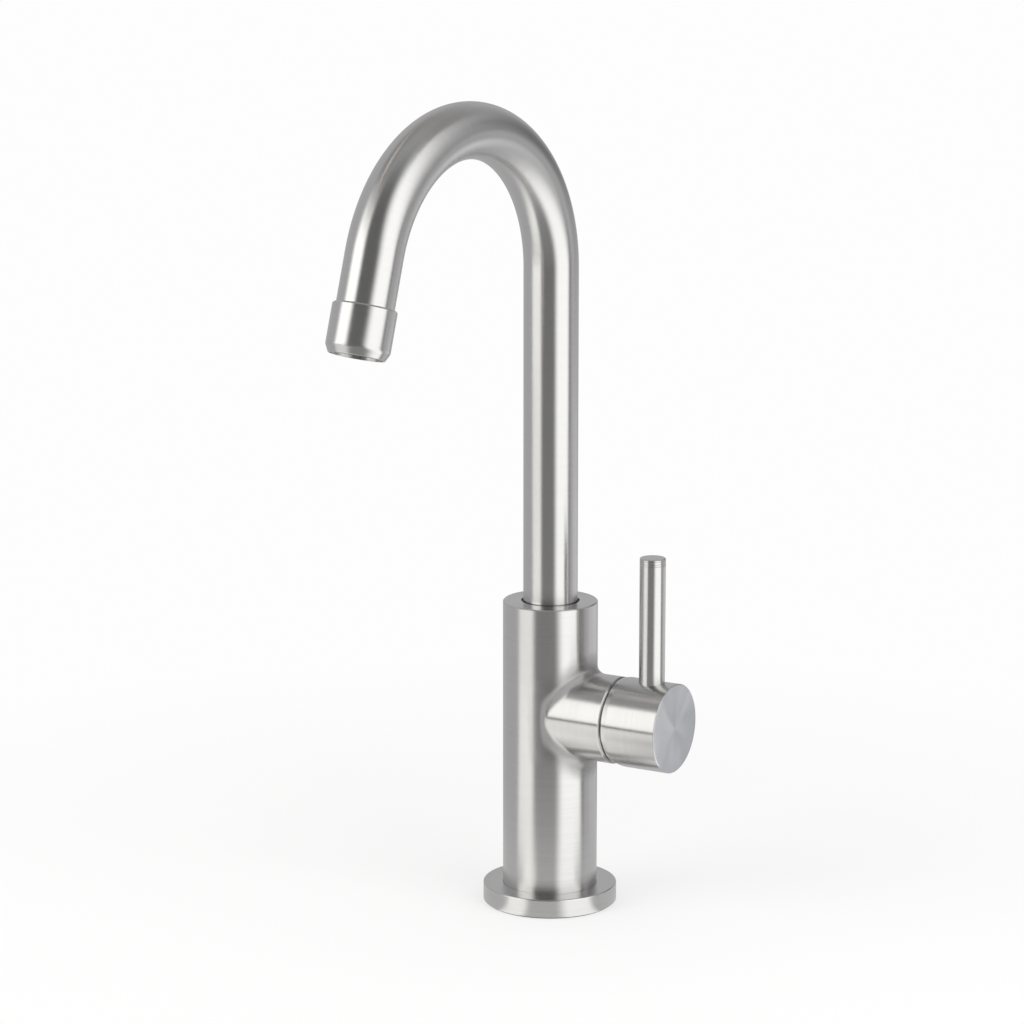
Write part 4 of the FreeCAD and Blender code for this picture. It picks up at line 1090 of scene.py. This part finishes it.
# ------------------------------------------------------------------ studio
def glow(name: str, colour: Sequence[float], strength: float = 1.0) -> bpy.types.Material:
    """A plain glowing material for the studio's flats.

    Args:
        name: Its name.
        colour: Its colour.
        strength: How bright it is.

    Returns:
        The material.
    """
    made, graph = blank_material(name)
    light = graph.wire("ShaderNodeEmission", None, {"Color": (*colour, 1.0), "Strength": strength})
    graph.node("ShaderNodeOutputMaterial", None, {0: light})
    return made


def hide_from_view(flat: bpy.types.Object) -> None:
    """Leaves a flat in reflections only.

    Args:
        flat: The flat.
    """
    flat.visible_camera = False
    flat.visible_shadow = False
    flat.visible_diffuse = False
    flat.visible_transmission = False


Colour = tuple[float, float, float]


@dataclass
class Panel:
    """Part of the studio's round wall, with the floor in front of it, as reflections see them.

    Angles are from the camera's direction, to the right, in degrees. It starts softly at start and ends where the
    next panel starts. The wall is a list of bands (height where it starts, softness, colour) from the floor up, and
    the floor one of bands (distance from the middle where it starts, softness, colour).
    """

    name: str
    start: float
    softness: float
    wall: Sequence[tuple[float, float, Colour]]
    floor: Sequence[tuple[float, float, Colour]]


@dataclass
class RoundWall:
    """A round wall of flats that glow, seen only in reflections.

    The floor's panels narrow towards the middle: between the first two distances of near_turn their angles grow
    from its third number to its fourth, as shares of the wall's.
    """

    panels: Sequence[Panel]
    camera_azimuth: float
    radius: float = 1.0
    top: float = 3.0
    steps: int = 90
    near_turn: tuple[float, float, float, float] = (0.03, 0.12, 0.62, 0.96)

    def angle(self, graph: Graph) -> Wire:
        """Angle of a point from the camera's direction.

        Args:
            graph: The material's graph.

        Returns:
            The angle, from -180 to 180 degrees.
        """
        x, y, _ = graph.split(graph.wire("ShaderNodeTexCoord", None, None, "Object"))
        turn = graph.maths("ARCTAN2", y, x) * (180 / math.pi) - self.camera_azimuth
        return graph.maths("FLOORED_MODULO", turn + 540.0, 360.0) - 180.0

    def colour(self, graph: Graph, along: Wire, on_floor: bool) -> Wire:
        """Colour that reflections see at a point of the wall or the floor.

        Args:
            graph: The material's graph.
            along: Height on the wall, or distance from the middle on the floor.
            on_floor: Whether it is the floor.

        Returns:
            The colour.
        """
        colour: SocketValue = None
        angle = self.angle(graph)
        if on_floor:
            angle = angle / graph.ramp(along, *self.near_turn)
        for panel in self.panels:
            bands = panel.floor if on_floor else panel.wall
            here: SocketValue = (*bands[0][2], 1.0)
            for start, soft, paint in bands[1:]:
                here = graph.blend(graph.ramp(along, start - soft, start + soft), here, (*paint, 1.0))
            half = panel.softness / 2
            share = graph.ramp(angle, panel.start - half, panel.start + half)
            colour = here if colour is None else graph.blend(share, colour, here)
        return colour

    def build(self) -> None:
        """Makes the wall."""
        points = []
        for k in range(self.steps):
            a = 2 * math.pi * k / self.steps
            points += [Vector((self.radius * math.cos(a), self.radius * math.sin(a), z)) for z in (0.0, self.top)]
        count = 2 * self.steps
        faces = [(2 * k, (2 * k + 2) % count, (2 * k + 3) % count, 2 * k + 1) for k in range(self.steps)]
        wall = new_piece("round_wall", points, faces)
        made, graph = blank_material("round_wall")
        _, _, height = graph.split(graph.wire("ShaderNodeTexCoord", None, None, "Object"))
        light = graph.wire("ShaderNodeEmission", None, {
            "Color": self.colour(graph, height, False), "Strength": 1.0})
        graph.node("ShaderNodeOutputMaterial", None, {0: light})
        wall.data.materials.append(made)
        hide_from_view(wall)


@dataclass
class Softbox:
    """A square lamp that faces the object."""

    name: str
    angle: float
    distance: float
    height: float
    width: float
    tall: float
    level: float
    colour: tuple[float, float, float]
    aim: float = 0.15

    def build(self, camera_azimuth: float) -> bpy.types.Object:
        """Makes the lamp.

        Args:
            camera_azimuth: Direction of the camera from the object, in degrees from +X.

        Returns:
            The lamp.
        """
        lamp = bpy.data.lights.new(self.name, "AREA")
        lamp.shape = "RECTANGLE"
        lamp.size, lamp.size_y = self.width, self.tall
        lamp.energy = self.level * math.pi * self.width * self.tall
        lamp.color = self.colour
        made = bpy.data.objects.new(self.name, lamp)
        bpy.context.scene.collection.objects.link(made)
        a = math.radians(camera_azimuth + self.angle)
        made.location = (self.distance * math.cos(a), self.distance * math.sin(a), self.height)
        way = Vector((0.0, 0.0, self.aim)) - made.location
        made.rotation_euler = way.to_track_quat("-Z", "Y").to_euler()
        made.visible_camera = False
        made.visible_glossy = False
        return made


@dataclass
class Studio:
    """Camera, floor, world and lights.

    The camera sees the floor's lit paint near the object, and from white_reach on more and more of plain white.
    """

    location: tuple[float, float, float] = (0.6889, -1.1911, 0.4502)
    right: tuple[float, float, float] = (0.8599, 0.5104, 0.0)
    up: tuple[float, float, float] = (-0.1045, 0.1761, 0.9788)
    back: tuple[float, float, float] = (0.4996, -0.8417, 0.2048)
    lens: float = 122.97
    sensor: float = 36.0
    azimuth: float = -59.31
    white_near: float = 0.60
    white_reach: tuple[float, float] = (0.10, 0.42)
    ambient: float = 0.80
    lamp_level: float = 2.15
    floor_half: float = 12.0
    floor_colour: Colour = (0.85, 0.85, 0.85)
    floor_white: Colour = (0.985, 0.985, 0.985)
    ceiling_half: float = 1.3
    ceiling_height: float = 3.0
    ceiling_colour: Colour = (0.43, 0.43, 0.435)

    def camera(self) -> None:
        """The camera at the photo's view."""
        data = bpy.data.cameras.new("camera")
        data.lens, data.sensor_width = self.lens, self.sensor
        made = bpy.data.objects.new("camera", data)
        bpy.context.scene.collection.objects.link(made)
        turn = Matrix((self.right, self.up, self.back)).transposed().to_4x4()
        made.matrix_world = Matrix.Translation(self.location) @ turn
        bpy.context.scene.camera = made

    def rays(self, graph: Graph) -> tuple[Wire, ...]:
        """What kind of ray looks.

        Args:
            graph: The material's graph.

        Returns:
            1 or 0 for the camera's, a glossy one, and one that went through something.
        """
        path = graph.node("ShaderNodeLightPath")
        return tuple(Wire(graph, path.outputs[name]) for name in (
            "Is Camera Ray", "Is Glossy Ray", "Is Transmission Ray"))

    def world(self) -> None:
        """White where it is seen, and a soft grey light."""
        world = bpy.data.worlds.new("studio")
        world.use_nodes = True
        bpy.context.scene.world = world
        world.node_tree.nodes.clear()
        graph = Graph(world.node_tree)
        camera, glossy, through = self.rays(graph)
        seen = (camera + glossy + through).at_most(1.0)
        light = graph.wire("ShaderNodeBackground", None, {"Color": (1, 1, 1, 1), "Strength": self.ambient})
        white = graph.wire("ShaderNodeBackground", None, {"Color": (1, 1, 1, 1), "Strength": 1.0})
        mixed = graph.wire("ShaderNodeMixShader", None, {0: seen, 1: light, 2: white})
        graph.node("ShaderNodeOutputWorld", None, {0: mixed})

    def floor(self, wall: RoundWall) -> None:
        """A wide pale floor that keeps the object's shadow.

        Args:
            wall: The wall that gives the far floor its colour in reflections.
        """
        half = self.floor_half
        floor = new_piece("floor", [Vector((x * half, y * half, 0.0)) for x, y in (
            (-1, -1), (1, -1), (1, 1), (-1, 1))], [(0, 1, 2, 3)])
        made, graph = blank_material("pale_floor")
        paint = graph.wire("ShaderNodeBsdfDiffuse", None, {"Color": (*self.floor_colour, 1.0)})
        white = graph.wire("ShaderNodeEmission", None, {"Color": (*self.floor_white, 1.0), "Strength": 1.0})
        coords = graph.wire("ShaderNodeTexCoord", None, None, "Object")
        away = graph.length(coords)
        camera, glossy, through = self.rays(graph)
        share = graph.ramp(away, *self.white_reach, self.white_near, 1.0)
        shown = graph.wire("ShaderNodeMixShader", None, {
            0: (camera + through).at_most(1.0) * share, 1: paint, 2: white})
        mat = graph.wire("ShaderNodeEmission", None, {"Color": wall.colour(graph, away, True), "Strength": 1.0})
        mixed = graph.wire("ShaderNodeMixShader", None, {0: glossy, 1: shown, 2: mat})
        graph.node("ShaderNodeOutputMaterial", None, {0: mixed})
        floor.data.materials.append(made)

    def round_wall(self) -> RoundWall:
        """Pale flats left and right with a dark front between them, and grey round the back.

        Returns:
            The wall.
        """
        grey, dark, darker, black = (0.52, 0.52, 0.535), (0.31, 0.31, 0.31), (0.17, 0.17, 0.17), (0.04, 0.04, 0.04)
        high, pink = (0.33, 0.325, 0.315), (1.3, 1.16, 1.09)
        near, thin, pale = (0.60, 0.60, 0.60), (0.26, 0.26, 0.26), (0.88, 0.88, 0.89)
        line, sheet = 0.006, 0.03
        low_grey = ((0.0, line, near), (0.12, sheet, grey))
        return RoundWall((
            Panel("grey_back", -180.0, 10.0, ((0.0, line, grey), (1.34, sheet, high)), low_grey),
            Panel("grey_left", -128.0, 14.0, (
                (0.0, line, grey), (1.24, sheet, high), (1.88, 0.03, pink), (2.17, 0.03, high)), low_grey),
            Panel("left_light", -84.0, 14.0, (
                (0.0, line, black), (0.05, line, (1.75, 1.74, 1.70)), (1.06, 0.03, high)), (
                (0.0, line, (1.26, 1.26, 1.23)), (0.68, 0.02, black))),
            Panel("front_dark", -42.5, 16.0, ((0.0, line, (0.27, 0.27, 0.27)), (0.10, 0.08, darker)), (
                (0.0, line, (0.64, 0.64, 0.63)), (0.125, sheet, dark))),
            Panel("right_white", 20.0, 25.0, ((0.0, line, (1.5, 1.5, 1.5)), (1.59, sheet, grey)),
                  ((0.0, line, (1.30, 1.30, 1.30)), (0.12, sheet, (1.45, 1.45, 1.45)))),
            Panel("thin_dark", 78.5, 12.0, ((0.0, line, thin),), ((0.0, line, near), (0.12, sheet, thin))),
            Panel("grey_right", 90.0, 8.0, ((0.0, line, grey), (1.34, sheet, high)), low_grey),
            Panel("back_light", 108.0, 10.0, (
                (0.0, line, grey), (0.26, 0.06, (0.20, 0.20, 0.20)), (0.72, 0.10, (0.42, 0.42, 0.43)),
                (1.34, sheet, high)), ((0.0, line, (0.62, 0.62, 0.63)), (0.45, 0.08, pale), (0.85, 0.05, grey))),
            Panel("back_again", 152.0, 16.0, ((0.0, line, grey), (1.34, sheet, high)), low_grey),
        ), self.azimuth)

    def lights(self) -> None:
        """Softboxes left and right, and a grey ceiling in reflections."""
        warm, cool = (1.0, 0.99, 0.96), (1.0, 1.0, 1.0)
        Softbox("left_softbox", angle=-62.0, distance=0.75, height=0.5, width=0.56, tall=0.9,
                level=self.lamp_level, colour=warm, aim=0.35).build(self.azimuth)
        Softbox("right_softbox", angle=45.0, distance=0.75, height=0.45, width=0.70, tall=0.9,
                level=self.lamp_level, colour=cool, aim=0.35).build(self.azimuth)
        half = self.ceiling_half
        ceiling = new_piece("grey_ceiling", [Vector((x * half, y * half, self.ceiling_height)) for x, y in (
            (-1, -1), (-1, 1), (1, 1), (1, -1))], [(0, 1, 2, 3)])
        ceiling.data.materials.append(glow("grey_ceiling", self.ceiling_colour))
        hide_from_view(ceiling)

    def build(self) -> None:
        """Sets the whole studio."""
        bpy.context.scene.view_settings.view_transform = "Standard"
        self.camera()
        self.world()
        wall = self.round_wall()
        wall.build()
        self.floor(wall)
        self.lights()


def main(frame: dict) -> None:
    """Builds the studio and the faucet's pieces in order.

    Args:
        frame: The loaded frame.
    """
    Studio().build()
    InnerParts().dress(frame)
    Base().build()
    Handle().build()
    Spout().build()


if __name__ == "__main__":
    logging.basicConfig(level=logging.INFO, format="%(message)s")
    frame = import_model()
    main(frame)
